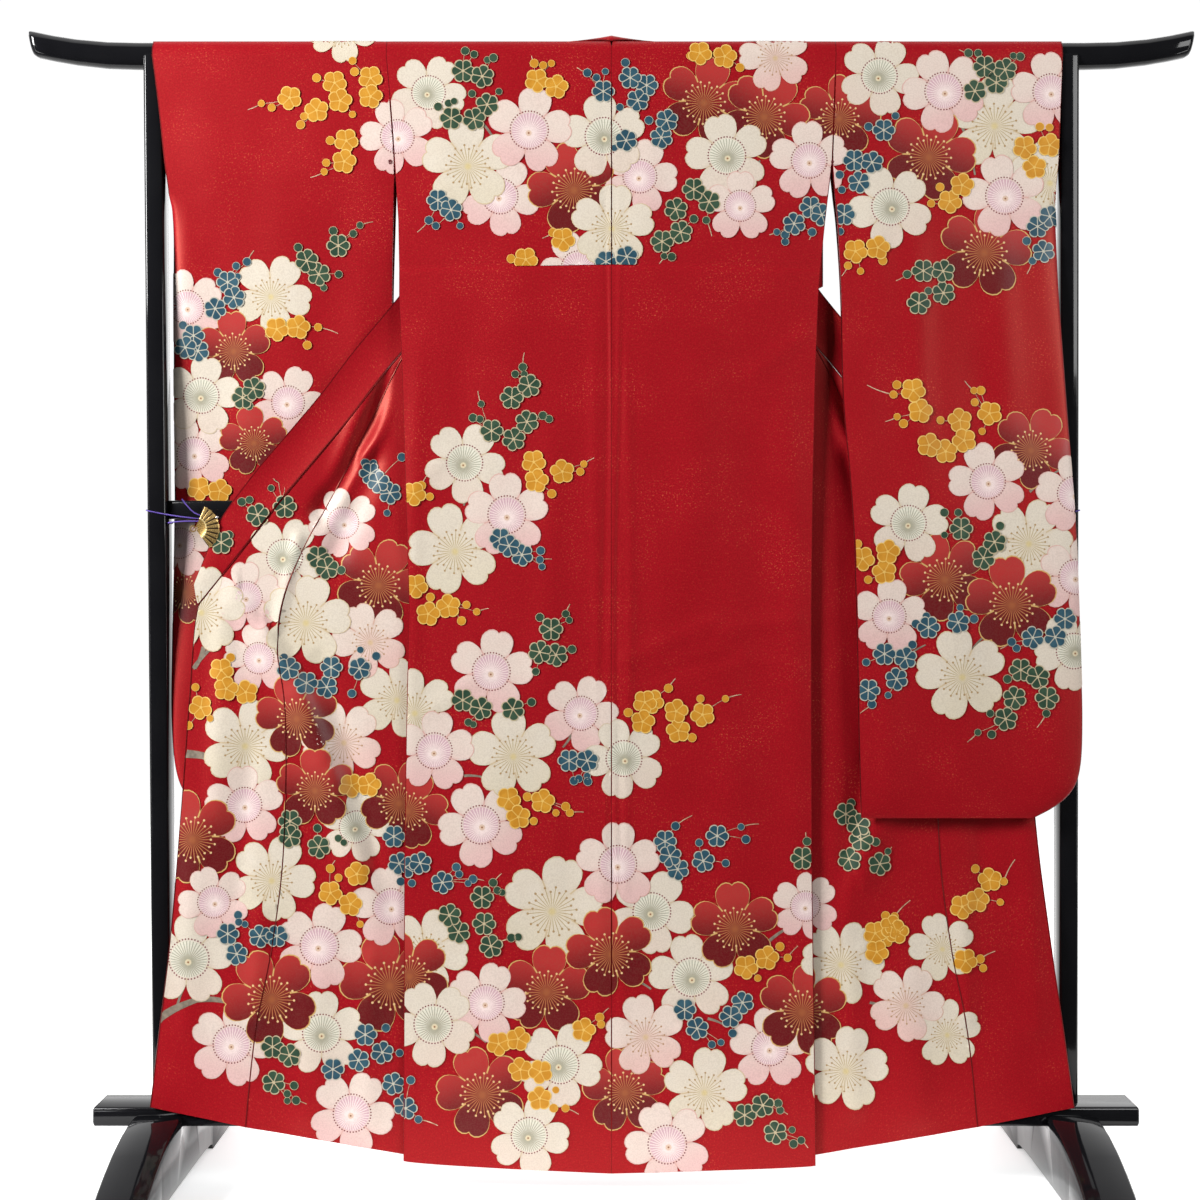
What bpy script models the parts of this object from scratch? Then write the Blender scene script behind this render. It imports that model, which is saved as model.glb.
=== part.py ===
"""A furisode hung over the top bar of a black lacquered stand and seen from its back.

X runs to the viewer's right, Y away from the viewer and Z up, with the floor at Z = 0.
The fronts are drawn out past the side seams and pinned to the posts, so the outside
of each front faces the viewer. Tables are in millimetres, each row one section.
"""
import math

import bmesh
import bpy
from mathutils import Vector

MM = 0.001
CLOTH = 1.6
COLLAR_THICK = 3.0
SEAM = 0.3
SEAM_HALF = 0.5

for old in list(bpy.data.objects):
    bpy.data.objects.remove(old, do_unlink=True)


def material(name, colour, roughness, metallic=0.0):
    mat = bpy.data.materials.new(name)
    mat.use_nodes = True
    shader = mat.node_tree.nodes["Principled BSDF"]
    shader.inputs["Base Color"].default_value = (*colour, 1.0)
    shader.inputs["Roughness"].default_value = roughness
    shader.inputs["Metallic"].default_value = metallic
    mat.diffuse_color = (*colour, 1.0)
    return mat


SILK = material("red silk", (0.42, 0.012, 0.02), 0.55)
LACQUER = material("black lacquer", (0.01, 0.01, 0.012), 0.15)
BRASS = material("gold plate", (0.80, 0.55, 0.22), 0.3, 1.0)
CORD = material("purple cord", (0.07, 0.03, 0.30), 0.7)


def finish(name, verts, faces, mat, smooth=True):
    """One closed object from points in millimetres."""
    mesh = bpy.data.meshes.new(name)
    mesh.from_pydata([Vector(v) * MM for v in verts], [], faces)
    work = bmesh.new()
    work.from_mesh(mesh)
    bmesh.ops.recalc_face_normals(work, faces=work.faces)
    work.to_mesh(mesh)
    work.free()
    for poly in mesh.polygons:
        poly.use_smooth = smooth
    mesh.materials.append(mat)
    obj = bpy.data.objects.new(name, mesh)
    bpy.context.scene.collection.objects.link(obj)
    return obj


def curve_through(table, steps):
    """Rows of a table with smooth rows added between them (Catmull-Rom)."""
    rows = []
    last = len(table) - 1
    for i in range(last):
        before = table[max(i - 1, 0)]
        after = table[min(i + 2, last)]
        for k in range(steps):
            t = k / steps
            row = []
            for a, b, c, d in zip(before, table[i], table[i + 1], after):
                row.append(0.5 * (2 * b + (c - a) * t + (2 * a - 5 * b + 4 * c - d) * t * t
                                  + (3 * b - a - 3 * c + d) * t ** 3))
            rows.append(tuple(row))
    rows.append(tuple(table[last]))
    return rows


def sheet(name, points, quads, thick, mat):
    """Thickens a surface of quads to both sides and closes its edges."""
    triangles = []
    for quad in quads:
        if len(quad) == 3:
            triangles.append(quad)
            continue
        a, b, c, d = quad
        if (points[a] - points[c]).length <= (points[b] - points[d]).length:
            triangles += [(a, b, c), (a, c, d)]
        else:
            triangles += [(a, b, d), (b, c, d)]
    normals = [Vector((0, 0, 0)) for _ in points]
    uses = set()
    for a, b, c in triangles:
        normal = (points[b] - points[a]).cross(points[c] - points[a]).normalized()
        for i, j, k in ((a, b, c), (b, c, a), (c, a, b)):
            corner = (points[j] - points[i]).angle(points[k] - points[i], 0.0)
            normals[i] += normal * corner
        uses |= {(a, b), (b, c), (c, a)}
    half = thick / 2
    count = len(points)
    verts = [p + n.normalized() * half for p, n in zip(points, normals)]
    verts += [p - n.normalized() * half for p, n in zip(points, normals)]
    faces = triangles + [(c + count, b + count, a + count) for a, b, c in triangles]
    for a, b in sorted(uses):
        if (b, a) not in uses:
            faces.append((b, a, a + count, b + count))
    return finish(name, verts, faces, mat)


def grid_sheet(name, rows, thick, mat):
    """A sheet from rows of equally many points."""
    width = len(rows[0])
    points = [Vector(p) for row in rows for p in row]
    quads = []
    for r in range(len(rows) - 1):
        for c in range(width - 1):
            a = r * width + c
            quads.append((a, a + 1, a + 1 + width, a + width))
    return sheet(name, points, quads, thick, mat)


def loft(name, rings, mat, smooth=False):
    """A closed body from equal rings, capped at both ends."""
    size = len(rings[0])
    verts = [p for ring in rings for p in ring]
    faces = [tuple(range(size))]
    for r in range(len(rings) - 1):
        for c in range(size):
            a = r * size + c
            b = r * size + (c + 1) % size
            faces.append((a, a + size, b + size, b))
    top = (len(rings) - 1) * size
    faces.append(tuple(reversed(range(top, top + size))))
    return finish(name, verts, faces, mat, smooth)


def mirrored(table, columns):
    """The same rows on the other side: the named columns change sign."""
    return [tuple(-v if i in columns else v for i, v in enumerate(row)) for row in table]


# The stand.

POST_TOP = {"left": -666.0, "right": 665.0}
POST_FOOT = {"left": -652.0, "right": 663.0}
POST_WIDE = 28.0
POST_DEEP = 36.0
POST_ROUND = 4.0
BOARD_TOP = 119.0
BOARD_LOW = 91.0
BOARD_DEEP = 70.0
BOARD_ENDS = (-748.0, 761.0)
SLOT_LOW = 1624.7
SLOT_TOP = 1642.0
SLOT_HALF = 16.0
MITRE = 2.5
FOOT_WIDE = 70.0


def rounded(wide, deep, radius, per_corner=3):
    """Corner points of a rounded rectangle, centred."""
    ring = []
    for turn in range(4):
        cx = (wide / 2 - radius) * (1 if turn in (0, 3) else -1)
        cy = (deep / 2 - radius) * (1 if turn in (0, 1) else -1)
        for k in range(per_corner):
            angle = math.pi / 2 * (turn + k / (per_corner - 1))
            ring.append((cx + radius * math.cos(angle), cy + radius * math.sin(angle)))
    return ring


def post_centre(side, z):
    share = (z - BOARD_TOP) / (SLOT_TOP - BOARD_TOP)
    return POST_FOOT[side] + (POST_TOP[side] - POST_FOOT[side]) * share


# bar profile: y and height as a share of the bar's height, front edge upward
BAR_PROFILE = (
    (0.0, 0.0), (-6.0, 0.01), (-11.5, 0.09), (-14.6, 0.26), (-15.6, 0.48), (-15.4, 0.70),
    (-13.0, 0.76), (-9.6, 0.90), (0.0, 1.0),
)
# x, underside z, top z, share of the depth, how far the top leans outward
BAR_SECTIONS = (
    (0, 1625.0, 1663.6, 1.0, 0),
    (690, 1625.0, 1663.6, 1.0, 0), (735, 1626.5, 1664.6, 1.0, 0),
    (780, 1631.5, 1668.6, 1.0, 1), (812, 1637.0, 1673.8, 1.0, 2),
    (836, 1642.0, 1679.2, 1.0, 4), (841.5, 1645.0, 1680.6, 0.9, 5),
    (843.5, 1649.0, 1681.0, 0.7, 6),
)


def bar_ring(x, low, top, depth, lean, side):
    ring = []
    outline = list(BAR_PROFILE) + [(-y, h) for y, h in reversed(BAR_PROFILE[1:-1])]
    for y, h in outline:
        ring.append((side * (x + lean * h), y * depth, low + (top - low) * h))
    return ring


bar_rings = [bar_ring(*row, -1) for row in reversed(BAR_SECTIONS)]
bar_rings += [bar_ring(*row, 1) for row in BAR_SECTIONS[1:]]
loft("stand_top_bar", bar_rings, LACQUER, True)

for side in ("left", "right"):
    rings = []
    for z in (BOARD_TOP + SEAM, SLOT_TOP - MITRE, SLOT_TOP):
        inset = MITRE if z == SLOT_TOP else 0.0
        cx = post_centre(side, z)
        outline = rounded(POST_WIDE - 2 * inset, POST_DEEP, POST_ROUND - inset / 2)
        rings.append([(cx + x, y, z) for x, y in outline])
    post = loft("stand_post_" + side, rings, LACQUER)
    cutter_rings = []
    for z in (SLOT_LOW, SLOT_TOP + POST_DEEP):
        cx = post_centre(side, z)
        cutter_rings.append([(cx - POST_DEEP, -SLOT_HALF, z), (cx + POST_DEEP, -SLOT_HALF, z),
                             (cx + POST_DEEP, SLOT_HALF, z), (cx - POST_DEEP, SLOT_HALF, z)])
    cutter = loft("post_slot_" + side, cutter_rings, LACQUER)
    cut = post.modifiers.new("slot", "BOOLEAN")
    cut.operation = "DIFFERENCE"
    cut.solver = "EXACT"
    cut.object = cutter
    bpy.context.view_layer.objects.active = post
    bpy.ops.object.modifier_apply(modifier=cut.name)
    bpy.data.objects.remove(cutter, do_unlink=True)

MID_LOW = 968.0
MID_TOP = 995.0
MID_DEEP = 18.0
mid_left = post_centre("left", MID_LOW) + POST_WIDE / 2 + SEAM
mid_right = post_centre("right", MID_LOW) - POST_WIDE / 2 - SEAM
mid_z = (MID_LOW + MID_TOP) / 2
mid_outline = rounded(MID_DEEP, MID_TOP - MID_LOW, POST_ROUND)
mid_rings = [[(x, y, mid_z + z) for y, z in mid_outline] for x in (mid_left, mid_right)]
loft("stand_mid_bar", mid_rings, LACQUER)

board_rings = []
board_mid = (BOARD_LOW + BOARD_TOP) / 2
for x, inset in ((BOARD_ENDS[0], MITRE), (BOARD_ENDS[0] + MITRE, 0.0),
                 (BOARD_ENDS[1] - MITRE, 0.0), (BOARD_ENDS[1], MITRE)):
    outline = rounded(BOARD_DEEP - 2 * inset, BOARD_TOP - BOARD_LOW - 2 * inset, POST_ROUND)
    board_rings.append([(x, y, board_mid + z) for y, z in outline])
loft("stand_base_board", board_rings, LACQUER)

# foot profile from the middle to the front: y, underside z, top z
FOOT_SECTIONS = (
    (0.0, 13.0, 90.7), (35.3, 13.0, 90.7), (35.35, 13.0, 106.0), (44.0, 13.0, 107.5),
    (70.0, 13.0, 106.0), (105.0, 12.5, 101.0), (140.0, 11.0, 92.5), (154.0, 8.0, 88.2),
    (158.0, 0.0, 86.8), (190.0, 0.0, 75.0), (225.0, 0.0, 59.5), (255.0, 0.0, 43.0),
    (276.0, 0.0, 28.0), (280.0, 2.0, 22.0),
)
FOOT_EDGE = 3.0
for side in ("left", "right"):
    halves = [(-y, low, top) for y, low, top in reversed(FOOT_SECTIONS[1:])]
    rings = []
    for y, low, top in halves + list(FOOT_SECTIONS):
        cx = POST_FOOT[side]
        w = FOOT_WIDE / 2
        rings.append([(cx - w, y, low), (cx - w, y, top - FOOT_EDGE),
                      (cx - w + FOOT_EDGE, y, top), (cx + w - FOOT_EDGE, y, top),
                      (cx + w, y, top - FOOT_EDGE), (cx + w, y, low)])
    loft("stand_foot_" + side, rings, LACQUER)

# The two body lengths.

# how the cloth goes over the bar, from the viewer's side to the rear: y, z
OVER_BAR = ((-17.4, 1652.0), (-11.5, 1661.4), (0.0, 1664.7), (11.5, 1661.4), (17.4, 1652.0))
OVER_BAR_HALF = 19.4
# how far each of those rows stops short of the middle for the neck
NECK_EDGE = (0.5, 9.0, 50.5, 73.0, 78.5)

# back half, from the hem up: side x, side y, side z, centre y, centre z
BACK_LEFT = (
    (-298, -44.6, 45, -44.8, 27), (-298, -43.4, 130, -43.6, 115), (-298, -40.6, 270, -41.0, 262),
    (-297.5, -38.2, 470, -38.6, 466), (-295, -35.8, 660, -36.4, 658),
    (-291, -33.6, 840, -34.2, 840), (-296.4, -30.6, 1016, -31.4, 1016),
    (-302, -27.8, 1180, -28.6, 1180), (-306.6, -26.0, 1290, -27.0, 1292),
    (-306.6, -25.4, 1324, -26.4, 1331), (-306.7, -24.0, 1328, -25.0, 1335),
    (-308, -22.9, 1400, -24.0, 1404), (-314, -21.0, 1488, -22.2, 1488),
    (-320, -20.0, 1570, -21.0, 1570), (-326, -19.4, 1640, -19.8, 1640),
)
BACK_RIGHT = (
    (292.5, -44.6, 38, -44.8, 27), (292, -43.4, 125, -43.6, 115), (290.5, -40.6, 268, -41.0, 262),
    (288, -38.2, 470, -38.6, 466), (287.5, -35.8, 660, -36.4, 658),
    (287.5, -33.6, 840, -34.2, 840), (290, -30.6, 1016, -31.4, 1016),
    (294, -27.8, 1180, -28.6, 1180), (298.5, -26.0, 1290, -27.0, 1292),
    (301, -25.4, 1323, -26.4, 1331), (301.5, -24.0, 1327, -25.0, 1335),
    (309, -22.9, 1400, -24.0, 1404), (319.5, -21.0, 1488, -22.2, 1488),
    (322.5, -20.0, 1570, -21.0, 1570), (325, -19.4, 1640, -19.8, 1640),
)
# front half, from the shoulder down, left side. The cloth runs from the side edge (s)
# to where it turns back behind the back half (t) and out again to its inner edge (i)
FRONT_LEFT = (
    (-326, 19.4, 1640, -215, 19.6, 1640, -83, 20.0, 1640),
    (-320, 19.6, 1570, -206, 17.0, 1566, -115, 19.0, 1574),
    (-317.5, 19.2, 1536, -180, 10.0, 1534, -136, 14.8, 1539),
    (-315.6, 18.6, 1511, -156, 1.0, 1509, -150, 11.0, 1515),
    (-314, 18.0, 1488, -134, -6.5, 1486, -163, 5.8, 1492),
    (-309, 2.0, 1400, -140, -15.0, 1385, -208, -3.0, 1371),
    (-305.5, -23.0, 1300, -165, -19.0, 1280, -262.5, -8.0, 1259),
    (-305, -24, 1262, -172, -20.5, 1246, -288.2, -9.8, 1226),
    (-304, -24, 1232, -178, -21.5, 1215, -307, -11.2, 1197),
    (-300, -26, 1140, -205, -23.0, 1120, -346, -14.2, 1118),
    (-296, -28, 1016, -235, -25.0, 1000, -406, -18.0, 1000),
    (-293, -30, 930, -254, -27.2, 915, -447, -20.9, 922),
    (-291, -31, 860, -262, -28.8, 852, -473.5, -23.0, 852),
    (-291, -32, 790, -267, -29.8, 784, -482, -24.5, 784),
    (-292, -33, 690, -273, -31.0, 684, -470, -26.5, 684),
    (-295, -36, 490, -280, -34.0, 488, -473, -29.8, 488),
    (-296, -38, 350, -284, -36.2, 350, -489, -32.6, 352),
    (-296, -40, 210, -287, -39.0, 212, -513, -35.8, 222),
    (-296, -42, 47, -289.5, -41.9, 51, -526, -39.2, 92),
)
SEWN_FROM = 6
SIDE_INSET = 1.2
SIDE_BEHIND = 2.15
# the right side edge above the side seam follows the right sleeve
RIGHT_SIDE_EDGE = ((325, 19.4, 1640), (322.5, 17.0, 1570), (321, 15.6, 1536),
                   (320.2, 13.9, 1511), (319.5, 12.0, 1488), (309, -2.0, 1400))
FRONT_RIGHT = mirrored(FRONT_LEFT, (0, 3, 6))
for step, edge in enumerate(RIGHT_SIDE_EDGE):
    FRONT_RIGHT[step] = edge + FRONT_RIGHT[step][3:]

# soft folds of the drawn-out front: x1, z1, x2, z2, width, height toward the viewer
FOLDS = (
    (-535, 850, -498, 800, 26, 5.0), (-498, 800, -451, 722, 26, 7.0),
    (-451, 722, -411, 622, 26, 7.5), (-411, 622, -359, 455, 28, 6.0),
    (-359, 455, -306, 372, 30, 3.5), (-372, 1100, -330, 1190, 20, 5.0),
    (-372, 1100, -404, 1020, 20, 3.5), (-345, 1150, -392, 1010, 12, -3.0),
    (-505, 400, -512, 250, 16, 2.5), (-340, 1080, -430, 930, 22, -4.0),
    (-560, 800, -572, 560, 26, 2.5), (-600, 520, -612, 240, 24, 2.0),
    (-430, 300, -440, 110, 34, 2.2),
)


BEHIND_BACK = 318.0
FOLD_EASE = 24.0


def fold_lift(x, z, side):
    """How far the folds near a point stand toward the viewer."""
    high = 0.0
    low = 0.0
    here = Vector((x if side == "left" else -x, z))
    for x1, z1, x2, z2, width, height in FOLDS:
        start = Vector((x1, z1))
        along = Vector((x2, z2)) - start
        share = (here - start).dot(along) / along.length_squared
        near = start + along * min(max(share, 0.0), 1.0)
        reach = (here - near).length / width
        lift = height * math.exp(-reach * reach)
        high = max(high, lift)
        low = min(low, lift)
    emerged = min(1.0, max(0.0, (abs(x) - BEHIND_BACK) / FOLD_EASE))
    return (high + low) * emerged


BACK_COLS = 13
SIDE_COLS = 3
TURN_COLS = 4
INNER_COLS = BACK_COLS - SIDE_COLS - TURN_COLS
TURN_LENGTH = 7.0
# the back's lower edge sags toward the middle by this power of the distance
SAG_POWER = 0.7


def level(rows, z):
    """The point of an edge at a height."""
    for one, two in zip(rows, rows[1:]):
        low, high = sorted((one, two), key=lambda point: point[2])
        if low[2] <= z <= high[2]:
            return Vector(low).lerp(Vector(high), (z - low[2]) / (high[2] - low[2]))
    return Vector(rows[0])


def across_front(side_edge, turn, inner, side):
    """Points of one row of the front half, from the side edge round the turn."""
    sign = 1 if side == "left" else -1
    heading = math.atan2(turn[1] - side_edge[1], sign * (turn[0] - side_edge[0]))
    leaving = math.atan2(inner[1] - turn[1], sign * (inner[0] - turn[0]))
    if leaving < -math.pi / 2:
        leaving += 2 * math.pi
    row = [side_edge.lerp(turn, c / SIDE_COLS) for c in range(SIDE_COLS + 1)]
    for c in range(TURN_COLS):
        angle = heading + (leaving - heading) * (c + 0.5) / TURN_COLS
        step = Vector((sign * math.cos(angle), math.sin(angle), 0))
        row.append(row[-1] + step * (TURN_LENGTH / TURN_COLS))
    turned = row[-1]
    row += [turned.lerp(inner, c / INNER_COLS) for c in range(1, INNER_COLS + 1)]
    for c in range(SIDE_COLS + TURN_COLS + 1, len(row)):
        row[c].y -= fold_lift(row[c].x, row[c].z, side)
    return row


def front_rows(back, front, side):
    """The rows of a front half; below the side seam's top they start at the back half."""
    sign = 1 if side == "left" else -1
    back_edge = [row[:3] for row in back]
    rows = []
    for step, row in enumerate(curve_through(front, 2)):
        side_edge, turn, inner = (Vector(row[i:i + 3]) for i in (0, 3, 6))
        if step >= SEWN_FROM * 2:
            beside = level(back_edge, side_edge.z)
            side_edge.x = beside.x + sign * SIDE_INSET
            side_edge.y = beside.y + SIDE_BEHIND
        rows.append(across_front(side_edge, turn, inner, side))
    return rows


def body(name, back, front, side):
    sign = -1 if side == "left" else 1
    rows = []
    for sx, sy, sz, cy, cz in back:
        row = []
        for c in range(BACK_COLS + 1):
            u = c / BACK_COLS
            row.append((sx + (sign * SEAM_HALF - sx) * u, sy + (cy - sy) * u,
                        sz + (cz - sz) * u ** SAG_POWER))
        rows.append(row)
    for (y, z), neck in zip(OVER_BAR, NECK_EDGE):
        share = 0.5 + 0.5 * y / OVER_BAR_HALF
        edge = back[-1][0] + (front[0][0] - back[-1][0]) * share
        rows.append([(edge + (sign * neck - edge) * c / BACK_COLS, y, z)
                     for c in range(BACK_COLS + 1)])
    rows += front_rows(back, front, side)
    return grid_sheet(name, rows, CLOTH, SILK)


body("body_left", BACK_LEFT, FRONT_LEFT, "left")
body("body_right", BACK_RIGHT, FRONT_RIGHT, "right")

# The collar.

# from the back of the neck to the left pin: seam edge (f), two points that shape the
# strip between, free edge (e)
COLLAR_HALF = (
    (0, -12.2, 1662.0, 0, -9.5, 1677.6, 0, 15.5, 1677.6, 0, 21.0, 1641),
    (-22.5, -6.0, 1665.2, -22.3, -3.0, 1671.5, -21.5, 16.0, 1673.0, -20, 22.0, 1638),
    (-49.0, 1.0, 1665.7, -48, 6.0, 1667.8, -45, 20.0, 1667.5, -40, 24.0, 1626),
    (-67.0, 9.6, 1665.0, -66, 15.0, 1664.0, -59, 25.0, 1655.0, -51, 27.0, 1610),
    (-76.5, 21.6, 1650.0, -74, 24.5, 1642.0, -66, 27.5, 1622.0, -58, 29.0, 1594),
    (-110, 20.4, 1574.0, -104, 26.0, 1568.0, -96, 32.0, 1560.0, -86, 38.0, 1548),
    (-163.5, 9.2, 1491.0, -160, 20.0, 1488.0, -156, 33.0, 1482.0, -152, 46.0, 1476),
    (-211, -0.6, 1370.5, -219, 7.0, 1376.0, -230, 17.0, 1386.0, -240, 26.0, 1394),
    (-266, -6.4, 1261.0, -280, -4.0, 1270.0, -296, -5.0, 1281.0, -309.5, -8.0, 1292),
    (-331, -11.4, 1179.0, -344, -12.5, 1190.0, -360, -14.5, 1202.0, -374, -13.0, 1213),
    (-379, -14.8, 1115.0, -392, -17.0, 1126.0, -408, -19.0, 1138.0, -422, -16.5, 1149),
    (-426, -18.0, 1058.0, -439, -20.4, 1069.0, -455, -22.2, 1081.0, -469, -19.5, 1092),
    (-472, -20.2, 1003.0, -485, -22.6, 1014.0, -501, -24.2, 1026.0, -515, -21.5, 1037),
    (-522.5, -22.6, 938.0, -534, -24.6, 948.0, -549, -25.6, 960.0, -563, -23.5, 971),
    (-561, -24.0, 889.0, -567, -25.2, 900.0, -575, -26.0, 913.0, -583, -24.5, 925),
    (-598, -25.4, 843.0, -600, -25.8, 852.0, -602, -26.0, 863.0, -603, -25.6, 873),
)
COLLAR_COLS = 4


def bezier(a, b, c, d, t):
    s = 1 - t
    return tuple(s ** 3 * p + 3 * s * s * t * q + 3 * s * t * t * r + t ** 3 * w
                 for p, q, r, w in zip(a, b, c, d))


def collar_rows(table):
    rows = []
    for row in curve_through(table, 2):
        f, p, q, e = (row[i:i + 3] for i in (0, 3, 6, 9))
        rows.append([bezier(f, p, q, e, c / COLLAR_COLS) for c in range(COLLAR_COLS + 1)])
    return rows


left_rows = collar_rows(COLLAR_HALF)
right_rows = [[(-x, y, z) for x, y, z in row] for row in left_rows]
grid_sheet("collar", list(reversed(left_rows)) + right_rows[1:], COLLAR_THICK, SILK)

# The front overlap panels.

OKUMI_FROM = 7
OKUMI_GAP = 0.9
BESIDE_COLLAR = Vector((0.85, 0.0, -0.7))
# heights at which its outer edge meets the collar, then the free outer edge, a row for
# each front row from the point at the collar down
COLLAR_MEETS = (1224, 1190, 1114, 1036, 962, 894, 844)
OKUMI_EDGE_LEFT = (
    (-610, -26.6, 705), (-622, -28.6, 535), (-637, -31.8, 350),
    (-652, -35.6, 222), (-663, -39.6, 121),
)
OKUMI_EDGE_RIGHT = (
    (604, -26.6, 705), (611, -28.6, 535), (634, -31.8, 350),
    (652, -35.6, 222), (665, -39.6, 120),
)
OKUMI_COLS = 6


def okumi(name, back, front, edge, side):
    """Starts beside the body's inner edge, row for row."""
    sign = -1 if side == "left" else 1
    seam = [row[-1] for row in front_rows(back, front, side)][OKUMI_FROM * 2:]
    collar_edge = [row[0] for row in left_rows]
    meets = [(level(collar_edge, z) + BESIDE_COLLAR) for z in COLLAR_MEETS]
    outer = curve_through([(sign * -p.x, p.y, p.z) for p in meets] + list(edge), 2)
    for step in range(len(meets) * 2 - 1):
        point = level(collar_edge, outer[step][2] - BESIDE_COLLAR.z) + BESIDE_COLLAR
        outer[step] = (sign * -point.x, point.y, point.z)
    rows = []
    for near, far in zip(seam, outer):
        start = near + Vector((sign * OKUMI_GAP, 0, 0))
        start.y += fold_lift(start.x, start.z, side)
        row = []
        for c in range(OKUMI_COLS + 1):
            point = start.lerp(Vector(far), c / OKUMI_COLS)
            point.y -= fold_lift(point.x, point.z, side)
            row.append(point)
        rows.append(row)
    return grid_sheet(name, rows, CLOTH, SILK)


okumi("okumi_left", BACK_LEFT, FRONT_LEFT, OKUMI_EDGE_LEFT, "left")
okumi("okumi_right", BACK_RIGHT, FRONT_RIGHT, OKUMI_EDGE_RIGHT, "right")

# The sleeves.

# z, inner x, outer x, y of the layer toward the viewer, y of the rear layer
SLEEVE_LEFT = (
    (1640, -326.8, -666, -19.4, 19.4), (1570, -320.8, -657, -20.0, 19.6),
    (1488, -314.8, -648, -21.0, 18.0), (1440, -316, -642, -18.0, 16.0),
    (1390, -317.5, -637, -13.5, 15.0), (1290, -320, -636, -4.0, 13.5),
    (1145, -321, -636, 6.0, 16.0), (1030, -321, -636, 10.6, 19.0),
    (950, -321, -636, 10.6, 19.0), (870, -321, -636, 3.0, 14.0),
    (770, -321.5, -636.5, -8.0, 5.0), (680, -322, -637, -14.0, -1.0),
    (610, -322, -634, -16.0, -4.0), (572, -322, -621, -16.5, -6.0),
    (549, -322, -597, -16.5, -8.0), (537, -322, -570, -16.0, -10.0),
)
SLEEVE_RIGHT = (
    (1640, 325.8, 654, -19.4, 19.4), (1570, 323.3, 651, -20.0, 17.0),
    (1488, 320.3, 647.5, -21.2, 12.0), (1440, 323, 643, -23.6, 4.0),
    (1390, 327, 643.5, -27.0, -7.0), (1290, 331.5, 646, -32.5, -20.0),
    (1145, 334, 654, -40.0, -31.0), (1030, 343, 661, -46.5, -38.5),
    (950, 348, 666, -50.5, -42.0), (870, 350.5, 669, -52.0, -43.0),
    (770, 353, 672, -53.0, -44.0), (680, 354.5, 674, -54.0, -44.5),
    (615, 356, 671.5, -54.0, -44.5), (580, 357, 661, -53.5, -44.5),
    (556, 357.5, 637, -53.0, -45.0), (538, 358, 604, -51.5, -46.5),
)
CUFF_ROW = 3
SLEEVE_COLS = 7
SLEEVE_STEPS = 2
# the columns crowd toward the outer edge, and the two layers meet in a round over BAG_EDGE
CROWDING = 1.5
BAG_EDGE = 26.0
BELOW_CUFF_ROWS = 3
BELOW_CUFF_SPREAD = 0.35
BAG_BOTTOM_ROWS = 4


def sleeve(name, table, side):
    """A flat bag: open at the cuff and along the inner edge, shut elsewhere."""
    sections = curve_through(table, SLEEVE_STEPS)
    shut_from = CUFF_ROW * SLEEVE_STEPS + 1
    points = []
    index = {}

    def put(key, point):
        index[key] = len(points)
        points.append(Vector(point))

    last = len(sections) - 1
    for r, (z, x_in, x_out, y_view, y_rear) in enumerate(sections):
        middle = (y_view + y_rear) / 2
        for c in range(SLEEVE_COLS + 1):
            u = c / SLEEVE_COLS
            u = 1 - (1 - u) ** CROWDING
            x = x_in + (x_out - x_in) * u
            spread = 1.0
            if r >= shut_from:
                edge = min(1.0, (1 - u) * abs(x_out - x_in) / BAG_EDGE)
                spread = math.sqrt(max(0.0, 1 - (1 - edge) ** 2))
                ease = min(1.0, (r - shut_from + 1) / BELOW_CUFF_ROWS)
                spread = spread * ease + (1 - ease) * min(1.0, spread + BELOW_CUFF_SPREAD)
            if r > last - BAG_BOTTOM_ROWS:
                spread *= math.sqrt((last - r) / BAG_BOTTOM_ROWS)
            closed = r == last or (r >= shut_from and c == SLEEVE_COLS)
            if closed:
                put(("view", r, c), (x, middle, z))
                index[("rear", r, c)] = index[("view", r, c)]
                continue
            put(("view", r, c), (x, middle + (y_view - middle) * spread, z))
            put(("rear", r, c), (x, middle + (y_rear - middle) * spread, z))
    top_keys = []
    for k, (y, z) in enumerate(OVER_BAR):
        top_keys.append(("top", k))
        for c in range(SLEEVE_COLS + 1):
            x = points[index[("view", 0, c)]][0]
            put(("top", k, c), (x, y, z))
    order = [("view", r) for r in range(last, -1, -1)] + top_keys
    order += [("rear", r) for r in range(last + 1)]
    quads = []
    for one, two in zip(order, order[1:]):
        for c in range(SLEEVE_COLS):
            quad = []
            for key in (one + (c,), one + (c + 1,), two + (c + 1,), two + (c,)):
                if index[key] not in quad:
                    quad.append(index[key])
            if len(quad) > 2:
                quads.append(tuple(quad))
    return sheet(name, points, quads, CLOTH, SILK)


sleeve("sleeve_left", SLEEVE_LEFT, "left")
sleeve("sleeve_right", SLEEVE_RIGHT, "right")

# The clips and their cords.

PIN_Z = 953.0
PIN_X = 601.0
PIN_Y = -27.4
FAN_RADIUS = 34.0
FAN_INNER = 16.0
FAN_HUB = 3.0
FAN_FROM = math.radians(-54.0)
FAN_TO = math.radians(69.0)
FAN_RIBS = 9
FAN_REAR = 0.9
RIB_HIGH = 1.3
RIB_LONG = 0.9
# across the fan: radius, height of its face toward the viewer, 1 where the ribs stand
FAN_RADII = ((FAN_HUB, 1.0, 0), (FAN_INNER - 1.5, 0.7, 0), (FAN_INNER, 1.7, 0),
             (FAN_INNER + 1.5, 0.5, 1), (FAN_RADIUS - 1.0, 0.5, 1), (FAN_RADIUS, 0.2, 0))
RING_OUT = 3.4
RING_RADIUS = 4.2
RING_WIRE = 0.9


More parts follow.
